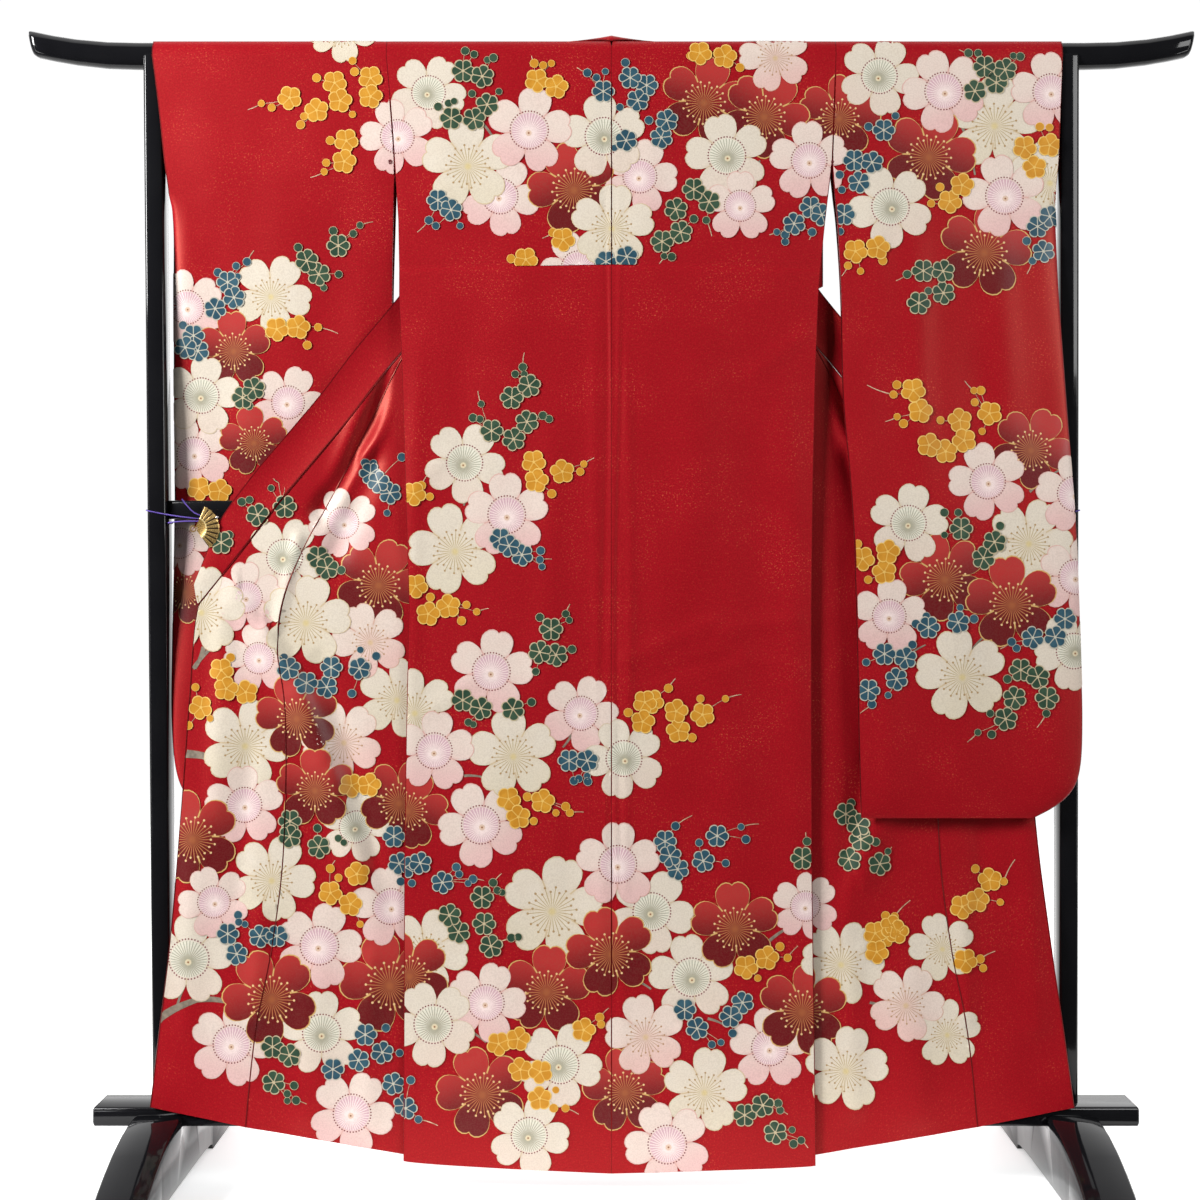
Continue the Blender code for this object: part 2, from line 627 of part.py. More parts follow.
def fan(name, side):
    """The clip: a small open fan, ribbed toward the viewer, flat behind."""
    sign = 1 if side == "left" else -1
    steps = FAN_RIBS * 2
    front = []
    rear = []
    for k in range(steps + 1):
        angle = FAN_FROM + (FAN_TO - FAN_FROM) * k / steps
        rib = 0.5 + 0.5 * math.cos(2 * math.pi * (k / 2.0 + 0.5))
        for radius, height, ribbed in FAN_RADII:
            reach = radius + (RIB_LONG * rib if radius > FAN_RADIUS - 2.0 else 0.0)
            x = sign * (-PIN_X + reach * math.cos(angle))
            z = PIN_Z + reach * math.sin(angle)
            front.append((x, PIN_Y - height - RIB_HIGH * rib * ribbed, z))
            rear.append((x, PIN_Y + FAN_REAR, z))
    wide = len(FAN_RADII)
    count = len(front)
    faces = []
    for k in range(steps):
        for j in range(wide - 1):
            a = k * wide + j
            faces.append((a, a + 1, a + 1 + wide, a + wide))
            faces.append((a + count, a + wide + count, a + 1 + wide + count, a + 1 + count))
        for j in (0, wide - 1):
            a = k * wide + j
            faces.append((a, a + wide, a + wide + count, a + count))
    for k in (0, steps):
        for j in range(wide - 1):
            a = k * wide + j
            faces.append((a, a + count, a + 1 + count, a + 1))
    return finish(name, front + rear, faces, BRASS, False)


def ring(name, side):
    sign = 1 if side == "left" else -1
    centre = Vector((sign * (-PIN_X - RING_OUT), PIN_Y, PIN_Z))
    big, small = 14, 6
    verts = []
    faces = []
    for k in range(big):
        a = 2 * math.pi * k / big
        for j in range(small):
            b = 2 * math.pi * j / small
            reach = RING_RADIUS + RING_WIRE * math.cos(b)
            verts.append(centre + Vector((reach * math.cos(a), RING_WIRE * math.sin(b),
                                          reach * math.sin(a))))
            faces.append((k * small + j, k * small + (j + 1) % small,
                          ((k + 1) % big) * small + (j + 1) % small,
                          ((k + 1) % big) * small + j))
    return finish(name, verts, faces, BRASS)


for side in ("left", "right"):
    fan("clip_fan_" + side, side)
    ring("clip_ring_" + side, side)

CORD_WIDE = 2.0
# left cord: from behind the fan round the post and back, then the loose end
CORD_LEFT = (
    (-594.5, -22.4, 967.4), (-606, -24.6, 968.4), (-622, -24.0, 970.4), (-638, -21.4, 972.8),
    (-652, -19.5, 975.2), (-663, -19.35, 977.4), (-669.9, -19.35, 978.8), (-673.7, -17.8, 979.8),
    (-675.25, -14.0, 980.4), (-675.25, 0.0, 980.8), (-675.25, 14.0, 980.4), (-673.7, 17.8, 979.6),
    (-669.9, 19.35, 978.2), (-659.9, 19.35, 973.0), (-649.9, 19.35, 966.4), (-646.1, 17.8, 963.9),
    (-644.5, 14.0, 962.6), (-644.35, 0.0, 961.8), (-643.8, -13.5, 962.0), (-639, -20.6, 962.4),
    (-622, -24.0, 963.8), (-607, -25.2, 964.0), (-595, -25.2, 964.0), (-590.0, -25.2, 967.0),
    (-593.0, -25.2, 971.6), (-603, -25.6, 976.0), (-612, -25.4, 984.5), (-621, -25.2, 996.0),
)


def cord(name, route, steps=2):
    spine = curve_through(route, steps)
    data = bpy.data.curves.new(name, "CURVE")
    data.dimensions = "3D"
    data.bevel_depth = CORD_WIDE / 2 * MM
    data.bevel_resolution = 2
    data.use_fill_caps = True
    line = data.splines.new("POLY")
    line.points.add(len(spine) - 1)
    for point, place in zip(line.points, spine):
        point.co = (*(Vector(place) * MM), 1.0)
    data.materials.append(CORD)
    obj = bpy.data.objects.new(name, data)
    bpy.context.scene.collection.objects.link(obj)
    return obj


POST_SHIFT = 4.2
AT_POST = -635.0
CORD_RIGHT = [(-x + (POST_SHIFT if x < AT_POST else 0.0), y, z) for x, y, z in CORD_LEFT]
cord("clip_cord_left", CORD_LEFT)
cord("clip_cord_right", CORD_RIGHT)
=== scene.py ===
import math

import bmesh
import bpy
import numpy as np
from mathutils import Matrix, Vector, noise


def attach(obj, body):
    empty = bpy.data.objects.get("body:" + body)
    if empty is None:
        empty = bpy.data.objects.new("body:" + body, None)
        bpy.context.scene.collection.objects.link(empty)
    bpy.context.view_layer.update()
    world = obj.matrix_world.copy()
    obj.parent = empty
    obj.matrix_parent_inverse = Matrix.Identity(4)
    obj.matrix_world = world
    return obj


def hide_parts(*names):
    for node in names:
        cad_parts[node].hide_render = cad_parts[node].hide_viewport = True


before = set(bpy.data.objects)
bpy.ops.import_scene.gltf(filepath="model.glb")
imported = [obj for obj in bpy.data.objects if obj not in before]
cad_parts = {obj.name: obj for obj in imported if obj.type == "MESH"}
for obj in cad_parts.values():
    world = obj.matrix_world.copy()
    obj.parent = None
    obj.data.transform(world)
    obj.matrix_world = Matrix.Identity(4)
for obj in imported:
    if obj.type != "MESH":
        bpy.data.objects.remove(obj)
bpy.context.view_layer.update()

# The room: white to the camera on every side, but dim in front of the garment, and a pale
# floor that ends just in front of the feet, so that the lacquer mirrors no white. A camera at
# mid height, a soft light from the far left, a weaker one from the right, narrow side ones.

MM = 0.001
CAMERA_AWAY = 2.6
CAMERA_UP = 0.85
SEEN_HALF = 0.876
PHOTO_WIDE = 1200
# the pixel column of the photograph that shows the middle of the stand
MIDDLE_COLUMN = 611.5
# how bright the room is behind the camera and behind the garment, and the headings from
# front (-1) to behind (1) between which it changes
ROOM_FRONT = 0.09
ROOM_BEHIND = 1.03
FRONT_ENDS = -0.35
BEHIND_STARTS = 0.30
FLOOR_RADIUS = 2.6
FLOOR_BACK = 2.2
FLOOR_GLOW = 0.52

camera = bpy.data.objects.new("camera", bpy.data.cameras.new("camera"))
bpy.context.scene.collection.objects.link(camera)
camera.location = (0, -CAMERA_AWAY, CAMERA_UP)
camera.rotation_euler = (math.pi / 2, 0, 0)
camera.data.sensor_width = 36
camera.data.lens = camera.data.sensor_width / 2 * CAMERA_AWAY / SEEN_HALF
camera.data.shift_x = (PHOTO_WIDE / 2 - MIDDLE_COLUMN) / PHOTO_WIDE
bpy.context.scene.camera = camera
bpy.context.scene.view_settings.view_transform = "Standard"

# name, place, point it faces, width, height, watts
LIGHTS = (
    ("key", (-2.7, -1.55, 2.2), (0.0, 0.0, 0.85), 0.8, 1.1, 196),
    ("fill", (2.4, -2.1, 2.1), (0.2, 0.0, 1.2), 1.2, 1.4, 54),
    ("strip_left", (-2.3, -0.9, 0.9), (-0.66, 0.0, 0.9), 0.16, 2.2, 9),
    ("strip_right", (2.3, -0.9, 0.9), (0.66, 0.0, 0.9), 0.16, 2.2, 9),
    ("rear", (0.0, 2.6, 2.2), (0.0, 0.0, 0.9), 2.2, 1.4, 10),
)
for name, place, faced, width, height, watts in LIGHTS:
    data = bpy.data.lights.new(name, "AREA")
    data.shape = "RECTANGLE"
    data.size, data.size_y = width, height
    data.energy = watts
    lamp = bpy.data.objects.new(name, data)
    lamp.location = place
    lamp.rotation_euler = (Vector(faced) - Vector(place)).to_track_quat("-Z", "Y").to_euler()
    bpy.context.scene.collection.objects.link(lamp)

world = bpy.data.worlds.new("pale room")
world.use_nodes = True
sky = world.node_tree.nodes
heading = sky.new("ShaderNodeSeparateXYZ")
world.node_tree.links.new(sky.new("ShaderNodeTexCoord").outputs["Generated"], heading.inputs[0])
glow = sky.new("ShaderNodeMapRange")
glow.interpolation_type = "SMOOTHSTEP"
for key, value in ((1, FRONT_ENDS), (2, BEHIND_STARTS), (3, ROOM_FRONT), (4, ROOM_BEHIND)):
    glow.inputs[key].default_value = value
world.node_tree.links.new(heading.outputs[1], glow.inputs[0])
# what the camera sees past the floor is white on every side, from any angle
seen = sky.new("ShaderNodeMath")
seen.operation = "MULTIPLY"
seen.inputs[1].default_value = ROOM_BEHIND
world.node_tree.links.new(sky.new("ShaderNodeLightPath").outputs["Is Camera Ray"], seen.inputs[0])
brightest = sky.new("ShaderNodeMath")
brightest.operation = "MAXIMUM"
world.node_tree.links.new(glow.outputs[0], brightest.inputs[0])
world.node_tree.links.new(seen.outputs[0], brightest.inputs[1])
world.node_tree.links.new(brightest.outputs[0], sky["Background"].inputs["Strength"])
sky["Background"].inputs["Color"].default_value = (1.0, 1.0, 1.0, 1.0)
bpy.context.scene.world = world

bpy.ops.object.select_all(action="DESELECT")
bpy.ops.mesh.primitive_circle_add(vertices=96, radius=FLOOR_RADIUS, fill_type="NGON",
                                  location=(0, FLOOR_BACK, 0))
floor = bpy.context.object
floor.name = "floor"
bpy.ops.object.transform_apply(location=True, rotation=True, scale=True)


class Tone:
    """A socket that adds, multiplies and compares as a number does."""

    def __init__(self, finish, socket):
        self.finish = finish
        self.socket = socket

    def sum(self, operation, *terms):
        """What a Math node makes of some terms."""
        return self.finish.node("ShaderNodeMath", {"operation": operation},
                                dict(enumerate(terms)))

    def __add__(self, other):
        return self.sum("ADD", self, other)

    __radd__ = __add__

    def __sub__(self, other):
        return self.sum("SUBTRACT", self, other)

    def __rsub__(self, other):
        return self.sum("SUBTRACT", other, self)

    def __mul__(self, other):
        return self.sum("MULTIPLY", self, other)

    __rmul__ = __mul__

    def __truediv__(self, other):
        return self.sum("DIVIDE", self, other)

    def __rtruediv__(self, other):
        return self.sum("DIVIDE", other, self)

    def __pow__(self, other):
        return self.sum("POWER", self, other)

    def __lt__(self, other):
        return self.sum("LESS_THAN", self, other)

    def __gt__(self, other):
        return self.sum("GREATER_THAN", self, other)

    def __abs__(self):
        return self.sum("ABSOLUTE", self)

    def part(self):
        """What is left past the last whole number."""
        return self.sum("FRACT", self)

    def band(self, low, high, soft):
        """1 between two values and 0 outside, over a soft edge."""
        return self.rise(low - soft, low) * (1 - self.rise(high, high + soft))

    def rise(self, start, end):
        """0 below start, 1 above end."""
        return self.finish.node("ShaderNodeMapRange", {"interpolation_type": "SMOOTHSTEP"},
                                {0: self, 1: start, 2: end})


class Finish:
    """A material and the way its nodes are added."""

    def __init__(self, name, colour, roughness, **fixed):
        self.material = bpy.data.materials.new(name)
        self.material.use_nodes = True
        self.tree = self.material.node_tree
        self.shader = self.tree.nodes["Principled BSDF"]
        self.set("Base Color", (*colour, 1.0))
        self.set("Roughness", roughness)
        for key, value in fixed.items():
            self.set(key.replace("_", " "), value)

    def set(self, key, value):
        """Gives an input of the shader a constant or what a node works out."""
        socket = self.shader.inputs[key]
        if isinstance(value, Tone):
            self.tree.links.new(value.socket, socket)
        else:
            socket.default_value = value

    def node(self, kind, settings, sockets, out=0):
        """A new node with its settings and inputs; gives one of its outputs."""
        made = self.tree.nodes.new(kind)
        for key, value in settings.items():
            setattr(made, key, value)
        for key, value in sockets.items():
            if isinstance(value, Tone):
                self.tree.links.new(value.socket, made.inputs[key])
            elif isinstance(value, tuple) and made.inputs[key].type == "RGBA":
                made.inputs[key].default_value = (*value, 1.0)
            else:
                made.inputs[key].default_value = value
        return Tone(self, made.outputs[out])

    def place(self):
        """Object coordinates, in metres."""
        return self.node("ShaderNodeTexCoord", {}, {}, "Object")

    def flat(self, name):
        """The place in one of the mesh's flat maps."""
        return self.node("ShaderNodeUVMap", {"uv_map": name}, {})

    def axis(self, place, which):
        """One of the three numbers of a place."""
        return self.node("ShaderNodeSeparateXYZ", {}, {0: place}, which)

    def grain(self, scale, detail=2.0, at=None):
        """Soft noise from 0 to 1, scale in grains to the metre."""
        return self.node("ShaderNodeTexNoise", {},
                         {"Vector": at or self.place(), "Scale": scale, "Detail": detail})

    def mix(self, share, one, two):
        """A colour between two others."""
        return self.node("ShaderNodeMix", {"data_type": "RGBA"}, {0: share, 6: one, 7: two}, 2)

    def bump(self, height, strength, distance):
        """Raises the surface where height is bright, by a distance in metres."""
        self.set("Normal", self.node("ShaderNodeBump", {}, {
            "Height": height, "Strength": strength, "Distance": distance}))


pale = Finish("pale floor", (0.93, 0.93, 0.93), 0.7, Emission_Color=(1.0, 1.0, 1.0, 1.0),
              Emission_Strength=FLOOR_GLOW)
pale.set("Base Color", pale.mix(pale.grain(2.0), (0.95, 0.95, 0.95), (0.96, 0.96, 0.96)))
floor.data.materials.append(pale.material)

# The clip cords: thin twisted indigo thread, knotted behind each fan, once round the
# post and back, with a short loose end. Limp thread, pulled taut by the cloth.

CORD_WIDE = 2.0
CORD_LEFT = (
    (-594.5, -22.4, 967.4), (-606, -24.6, 968.4), (-622, -24.0, 970.4), (-638, -21.4, 972.8),
    (-652, -19.5, 975.2), (-663, -19.35, 977.4), (-669.9, -19.35, 978.8), (-673.7, -17.8, 979.8),
    (-675.25, -14.0, 980.4), (-675.25, 0.0, 980.8), (-675.25, 14.0, 980.4), (-673.7, 17.8, 979.6),
    (-669.9, 19.35, 978.2), (-659.9, 19.35, 973.0), (-649.9, 19.35, 966.4), (-646.1, 17.8, 963.9),
    (-644.5, 14.0, 962.6), (-644.35, 0.0, 961.8), (-643.8, -13.5, 962.0), (-639, -20.6, 962.4),
    (-622, -24.0, 963.8), (-607, -25.2, 964.0), (-595, -25.2, 964.0), (-590.0, -25.2, 967.0),
    (-593.0, -25.2, 971.6), (-603, -25.6, 976.0), (-612, -25.4, 984.5), (-621, -25.2, 996.0),
)
POST_SHIFT = 4.2
AT_POST = -635.0
CORD_RIGHT = [(-x + (POST_SHIFT if x < AT_POST else 0.0), y, z) for x, y, z in CORD_LEFT]


def through(table, steps):
    """Rows of a table with smooth rows between them, as many steps as each gap is given."""
    table = np.asarray(table, float)
    last = len(table) - 1
    made = []
    for i, count in enumerate(steps):
        a, b, c, d = table[max(i - 1, 0)], table[i], table[i + 1], table[min(i + 2, last)]
        t = (np.arange(count) / count)[:, None]
        made.append(0.5 * (2 * b + (c - a) * t + (2 * a - 5 * b + 4 * c - d) * t ** 2
                           + (3 * b - a - 3 * c + d) * t ** 3))
    return np.concatenate(made + [table[-1:]])


thread = Finish("indigo thread", (0.07, 0.03, 0.30), 0.62)
twist = thread.node("ShaderNodeTexWave", {"wave_type": "BANDS", "bands_direction": "DIAGONAL"},
                    {"Vector": thread.place(), "Scale": 260.0, "Distortion": 1.2,
                     "Detail": 1.0, "Detail Scale": 2.0})
thread.set("Base Color", thread.mix(twist, (0.035, 0.018, 0.16), (0.13, 0.07, 0.42)))
thread.bump(twist, 0.5, 0.0004)

for side, route in (("left", CORD_LEFT), ("right", CORD_RIGHT)):
    spine = through(route, [2] * (len(route) - 1)) * MM
    data = bpy.data.curves.new("thread_" + side, "CURVE")
    data.dimensions = "3D"
    data.bevel_depth = CORD_WIDE / 2 * MM
    data.bevel_resolution = 3
    data.use_fill_caps = True
    line = data.splines.new("POLY")
    line.points.add(len(spine) - 1)
    for point, place in zip(line.points, spine):
        point.co = (*place, 1.0)
    data.materials.append(thread.material)
    cord = bpy.data.objects.new("thread_" + side, data)
    bpy.context.scene.collection.objects.link(cord)
    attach(cord, "root")
    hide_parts("clip_cord_" + side)

# The stand: lacquered wood, black and polished. The posts are set in a base board on
# two curved feet, tied by a middle bar, and carry the long top bar with upturned ends.

lacquer = Finish("black lacquer", (0.005, 0.005, 0.006), 0.14, Coat_Weight=0.2,
                 Coat_Roughness=0.03, Specular_IOR_Level=0.15)
haze = lacquer.grain(14.0, 3.0)
dust = lacquer.grain(900.0, 2.0)
lacquer.set("Base Color", lacquer.mix(haze, (0.003, 0.003, 0.004), (0.007, 0.007, 0.008)))
lacquer.set("Roughness", haze * 0.06 + dust * 0.03 + 0.05)
lacquer.bump(lacquer.grain(45.0, 2.0), 0.05, 0.001)

SMOOTH_BELOW = math.radians(50)
WELD = 0.00002
WORN_EDGE = 0.0008
STAND = ("base_board", "foot_left", "foot_right", "post_left", "post_right", "mid_bar",
         "top_bar")


def make_active(piece):
    """Selects one piece alone for the operators that follow."""
    bpy.ops.object.select_all(action="DESELECT")
    piece.select_set(True)
    bpy.context.view_layer.objects.active = piece


def weld(piece):
    """Joins the corners that meet, so that neighbouring faces share them."""
    make_active(piece)
    bpy.ops.object.mode_set(mode="EDIT")
    bpy.ops.mesh.select_all(action="SELECT")
    bpy.ops.mesh.remove_doubles(threshold=WELD)
    bpy.ops.object.mode_set(mode="OBJECT")


def copied(node, name, finish):
    """A piece of the CAD part as an object of its own, with a finish."""
    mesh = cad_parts[node].data.copy()
    mesh.materials.clear()
    mesh.materials.append(finish.material)
    piece = bpy.data.objects.new(name, mesh)
    bpy.context.scene.collection.objects.link(piece)
    weld(piece)
    return piece


for part in STAND:
    wood = copied("stand_" + part, "lacquered_" + part, lacquer)
    bpy.ops.object.mode_set(mode="EDIT")
    bpy.ops.mesh.select_all(action="SELECT")
    bpy.ops.mesh.tris_convert_to_quads()
    bpy.ops.object.mode_set(mode="OBJECT")
    edge = wood.modifiers.new("worn edge", "BEVEL")
    edge.width = WORN_EDGE
    edge.segments = 2
    edge.limit_method = "ANGLE"
    edge.angle_limit = SMOOTH_BELOW
    bpy.ops.object.modifier_apply(modifier=edge.name)
    bpy.ops.object.shade_smooth_by_angle(angle=SMOOTH_BELOW)
    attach(wood, "root")
    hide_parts("stand_" + part)

# The two body lengths: printed silk satin crepe, one loom width each, from the back hem
# over the shoulder to the front hem. They are sewn together down the centre back, with a
# tuck across at the waist, and hang over the bar with the fronts drawn out and pinned.

CLOTH = 1.2
# how long a cell of the cloth's grid is, about
CELL = 6.5
CENTRE_HALF = 0.06
# how the cloth goes over the bar, from the viewer's side to the rear: y, z
OVER_BAR = ((-17.4, 1652.0), (-11.5, 1661.4), (0.0, 1664.7), (11.5, 1661.4), (17.4, 1652.0))
OVER_BAR_HALF = 19.4
# how far each of those rows stops short of the middle for the neck
NECK_EDGE = (0.06, 2.0, 48.5, 73.0, 78.5)
# back half, from the hem up: side x, side y, side z, centre y, centre z
BACK_LEFT = (
    (-298, -44.6, 45, -44.8, 27), (-298, -43.4, 130, -43.6, 115), (-298, -40.6, 270, -41.0, 262),
    (-297.5, -38.2, 470, -38.6, 466), (-295, -35.8, 660, -36.4, 658),
    (-291, -33.6, 840, -34.2, 840), (-296.4, -30.6, 1016, -31.4, 1016),
    (-302, -27.8, 1180, -28.6, 1180), (-306.6, -26.0, 1290, -27.0, 1292),
    (-306.6, -25.4, 1324, -26.4, 1331), (-306.7, -24.0, 1328, -25.0, 1335),
    (-308, -22.9, 1400, -24.0, 1404), (-314, -21.0, 1488, -22.2, 1488),
    (-320, -20.0, 1570, -21.0, 1570), (-326, -19.4, 1640, -19.8, 1640),
)
BACK_RIGHT = (
    (292.5, -44.6, 38, -44.8, 27), (292, -43.4, 125, -43.6, 115), (290.5, -40.6, 268, -41.0, 262),
    (288, -38.2, 470, -38.6, 466), (287.5, -35.8, 660, -36.4, 658),
    (287.5, -33.6, 840, -34.2, 840), (290, -30.6, 1016, -31.4, 1016),
    (294, -27.8, 1180, -28.6, 1180), (298.5, -26.0, 1290, -27.0, 1292),
    (301, -25.4, 1323, -26.4, 1331), (301.5, -24.0, 1327, -25.0, 1335),
    (309, -22.9, 1400, -24.0, 1404), (319.5, -21.0, 1488, -22.2, 1488),
    (322.5, -20.0, 1570, -21.0, 1570), (325, -19.4, 1640, -19.8, 1640),
)
# front half, from the shoulder down, left side: side edge, the turn behind the back half,
# inner edge
FRONT_LEFT = (
    (-326, 19.4, 1640, -215, 19.6, 1640, -83, 20.0, 1640),
    (-320, 19.6, 1570, -206, 17.0, 1566, -115, 19.0, 1574),
    (-317.5, 19.2, 1536, -180, 10.0, 1534, -136, 14.8, 1539),
    (-315.6, 18.6, 1511, -156, 1.0, 1509, -150, 11.0, 1515),
    (-314, 18.0, 1488, -134, -6.5, 1486, -163, 5.8, 1492),
    (-309, 2.0, 1400, -140, -15.0, 1385, -208, -3.0, 1371),
    (-305.5, -23.0, 1300, -165, -19.0, 1280, -262.5, -8.0, 1259),
    (-305, -24, 1262, -172, -20.5, 1246, -288.2, -9.8, 1226),
    (-304, -24, 1232, -178, -21.5, 1215, -307, -11.2, 1197),
    (-300, -26, 1140, -205, -23.0, 1120, -346, -14.2, 1118),
    (-296, -28, 1016, -235, -25.0, 1000, -406, -18.0, 1000),
    (-293, -30, 930, -254, -27.2, 915, -447, -20.9, 922),
    (-291, -31, 860, -262, -28.8, 852, -473.5, -23.0, 852),
    (-291, -32, 790, -267, -29.8, 784, -482, -24.5, 784),
    (-292, -33, 690, -273, -31.0, 684, -470, -26.5, 684),
    (-295, -36, 490, -280, -34.0, 488, -473, -29.8, 488),
    (-296, -38, 350, -284, -36.2, 350, -489, -32.6, 352),
    (-296, -40, 210, -287, -39.0, 212, -513, -35.8, 222),
    (-296, -42, 47, -289.5, -41.9, 51, -526, -39.2, 92),
)
SEWN_FROM = 6
SIDE_INSET = 1.2
SIDE_BEHIND = 2.15
# the right side edge above the side seam
RIGHT_SIDE_EDGE = ((325, 19.4, 1640), (322.5, 17.0, 1570), (321, 15.6, 1536),
                   (320.2, 13.9, 1511), (319.5, 12.0, 1488), (309, -2.0, 1400))
# soft folds of the drawn-out fronts, from a line down the crest: x1, z1, x2, z2, width
# toward the side, width toward the middle, height toward the viewer
FOLDS = np.array((
    (-538, 850, -498, 800, 30, 14, 6.5), (-498, 800, -451, 722, 30, 12, 9.5),
    (-451, 722, -411, 622, 30, 12, 10.5), (-411, 622, -384, 540, 30, 13, 9.5),
    (-384, 540, -359, 455, 30, 15, 7.5), (-359, 455, -306, 372, 32, 18, 4.5),
    (-424, 760, -372, 610, 12, 16, -4.0), (-368, 600, -338, 480, 12, 18, -3.0),
    (-452, 940, -484, 806, 10, 7, 4.0), (-302, 1140, -357, 1060, 12, 11, 5.5),
    (-372, 1100, -330, 1190, 16, 12, 5.0), (-372, 1100, -404, 1020, 14, 12, 4.5),
    (-312, 1186, -383, 1044, 13, 16, -9.0), (-383, 1044, -425, 980, 13, 18, -9.0),
    (-505, 400, -512, 250, 16, 12, 3.5), (-345, 1050, -400, 920, 18, 22, -7.0),
    (-560, 830, -572, 560, 16, 22, 4.0), (-600, 520, -612, 240, 18, 22, 3.5),
    (-430, 300, -440, 110, 24, 30, 3.5), (-345, 330, -352, 120, 16, 20, 3.0),
    (-520, 640, -540, 420, 18, 14, -3.0),
), float)
BEHIND_BACK = 318.0
FOLD_EASE = 24.0
# long soft ridges and troughs of the hanging back: x, low z, high z, width, height
BACK_CREASES = (
    (-282, 560, 1250, 13, 1.8), (-92, 640, 1160, 24, 2.4), (-63, 300, 640, 22, -1.6),
    (-20, 60, 1300, 9, 0.9), (-11, 500, 1600, 4, -0.7), (-4, 300, 1450, 3, 0.5),
    (7, 250, 1500, 3.5, 0.6), (13, 420, 1320, 3, -0.6), (22, 80, 1250, 7, 0.9),
    (46, 560, 980, 18, -1.0), (120, 820, 1240, 34, 1.9), (168, 200, 760, 32, 1.8),
    (205, 620, 1180, 26, -1.4), (262, 380, 1200, 20, 1.6), (-170, 150, 720, 38, 1.8),
    (-215, 760, 1290, 30, -1.4), (-140, 1120, 1560, 34, 1.1), (60, 1280, 1600, 26, 1.1),
    (190, 1330, 1610, 30, 0.8), (-245, 1330, 1600, 22, 0.7),
)
# faint slanting ones across it, measured as the folds of the fronts are
BACK_SLANTS = np.array((
    (22, 764, 148, 818, 13, 13, 1.6), (60, 742, 176, 770, 9, 9, -1.1),
    (156, 806, 262, 822, 12, 12, 1.4), (190, 770, 268, 748, 10, 10, 0.9),
    (-262, 690, -190, 742, 12, 12, 1.0), (210, 1180, 282, 1236, 11, 11, 1.1),
    (-285, 1010, -232, 1064, 10, 10, 0.9), (60, 470, 150, 440, 14, 14, 0.8),
), float)
# fine waviness of the cloth: how wide, how high, and where in the noise it is read
BACK_RIPPLE = (70, 0.9, 3.7)
FRONT_RIPPLE = (55, 1.6, 8.1)
# a crease of the back fades over this length at its ends, and sways this far and slowly
CREASE_FADES = 130
SWAY = 5
SWAY_SLOWNESS = 190
# how a cut edge is rolled: two steps down, and the last one's step inward
ROLL_DOWN = (0.55, 1.1)
ROLL_IN = 0.35
# cells across: from the side edge to the turn, round it, and on to the inner edge
SIDE_COLS, TURN_COLS, INNER_COLS = 14, 8, 42
ACROSS = SIDE_COLS + TURN_COLS + INNER_COLS
TURN_LENGTH = 7.0
# how the rows of the back sag toward the centre, and how their cells crowd there
SAG_POWER = 0.7
CENTRE_CROWD = 1.4


def mirrored(table):
    """The same rows on the other side: every third number is an x."""
    return [tuple(-v if i % 3 == 0 else v for i, v in enumerate(row)) for row in table]


FRONT_RIGHT = mirrored(FRONT_LEFT)
for step, edge in enumerate(RIGHT_SIDE_EDGE):
    FRONT_RIGHT[step] = edge + FRONT_RIGHT[step][3:]


def cell_steps(table, column=0):
    """How many cells fit between neighbouring rows, read at one point of each row."""
    points = np.asarray(table, float)[:, column:column + 3]
    return [max(2, round(gap / CELL)) for gap in np.linalg.norm(np.diff(points, axis=0), axis=1)]


def straight(table, steps):
    """Rows of a table with rows between them in straight lines."""
    table = np.asarray(table, float)
    made = [one + (two - one) * (np.arange(count) / count)[:, None]
            for one, two, count in zip(table, table[1:], steps)]
    return np.concatenate(made + [table[-1:]])


def ridges(x, z, table):
    """How high the ridges and troughs of a table stand."""
    here = np.stack([x, z], -1)
    high = np.zeros(x.shape)
    low = np.zeros(x.shape)
    for fold in table:
        start, along = fold[:2], fold[2:4] - fold[:2]
        share = np.clip((here - start) @ along / (along @ along), 0, 1)
        beside = here - start - share[..., None] * along
        wide = np.where(beside[..., 0] < 0, fold[4], fold[5])
        reach = np.linalg.norm(beside, axis=-1) / wide
        lift = fold[6] * np.exp(-reach * reach)
        high = np.maximum(high, lift)
        low = np.minimum(low, lift)
    return high + low


def fold_lift(x, z):
    """How far the folds of a front stand toward the viewer."""
    return ridges(-np.abs(x), z, FOLDS) * np.clip((np.abs(x) - BEHIND_BACK) / FOLD_EASE, 0, 1)


def ripple(x, z, width, height, seed):
    """A small uneven waviness, as silk keeps after folding."""
    flat = [noise.noise(Vector((a / width, seed, b / width / 2.2))) for a, b in
            zip(x.ravel(), z.ravel())]
    return np.array(flat).reshape(x.shape) * height


def back_lift(x, z):
    """How far the creases of the hanging back stand toward the viewer."""
    lift = ripple(x, z, *BACK_RIPPLE) + ridges(x, z, BACK_SLANTS)
    for at, low, high, width, height in BACK_CREASES:
        reach = (x - at - SWAY * np.sin(z / SWAY_SLOWNESS + at)) / width
        ends = (np.clip((z - low) / CREASE_FADES, 0, 1)
                * np.clip((high - z) / CREASE_FADES, 0, 1))
        lift += height * np.exp(-reach * reach) * ends
    return lift


def level(rows, z):
    """The point of an edge at a height."""
    rows = np.asarray(rows, float)
    order = np.argsort(rows[:, 2])
    return np.array([np.interp(z, rows[order, 2], rows[order, k]) for k in range(3)])


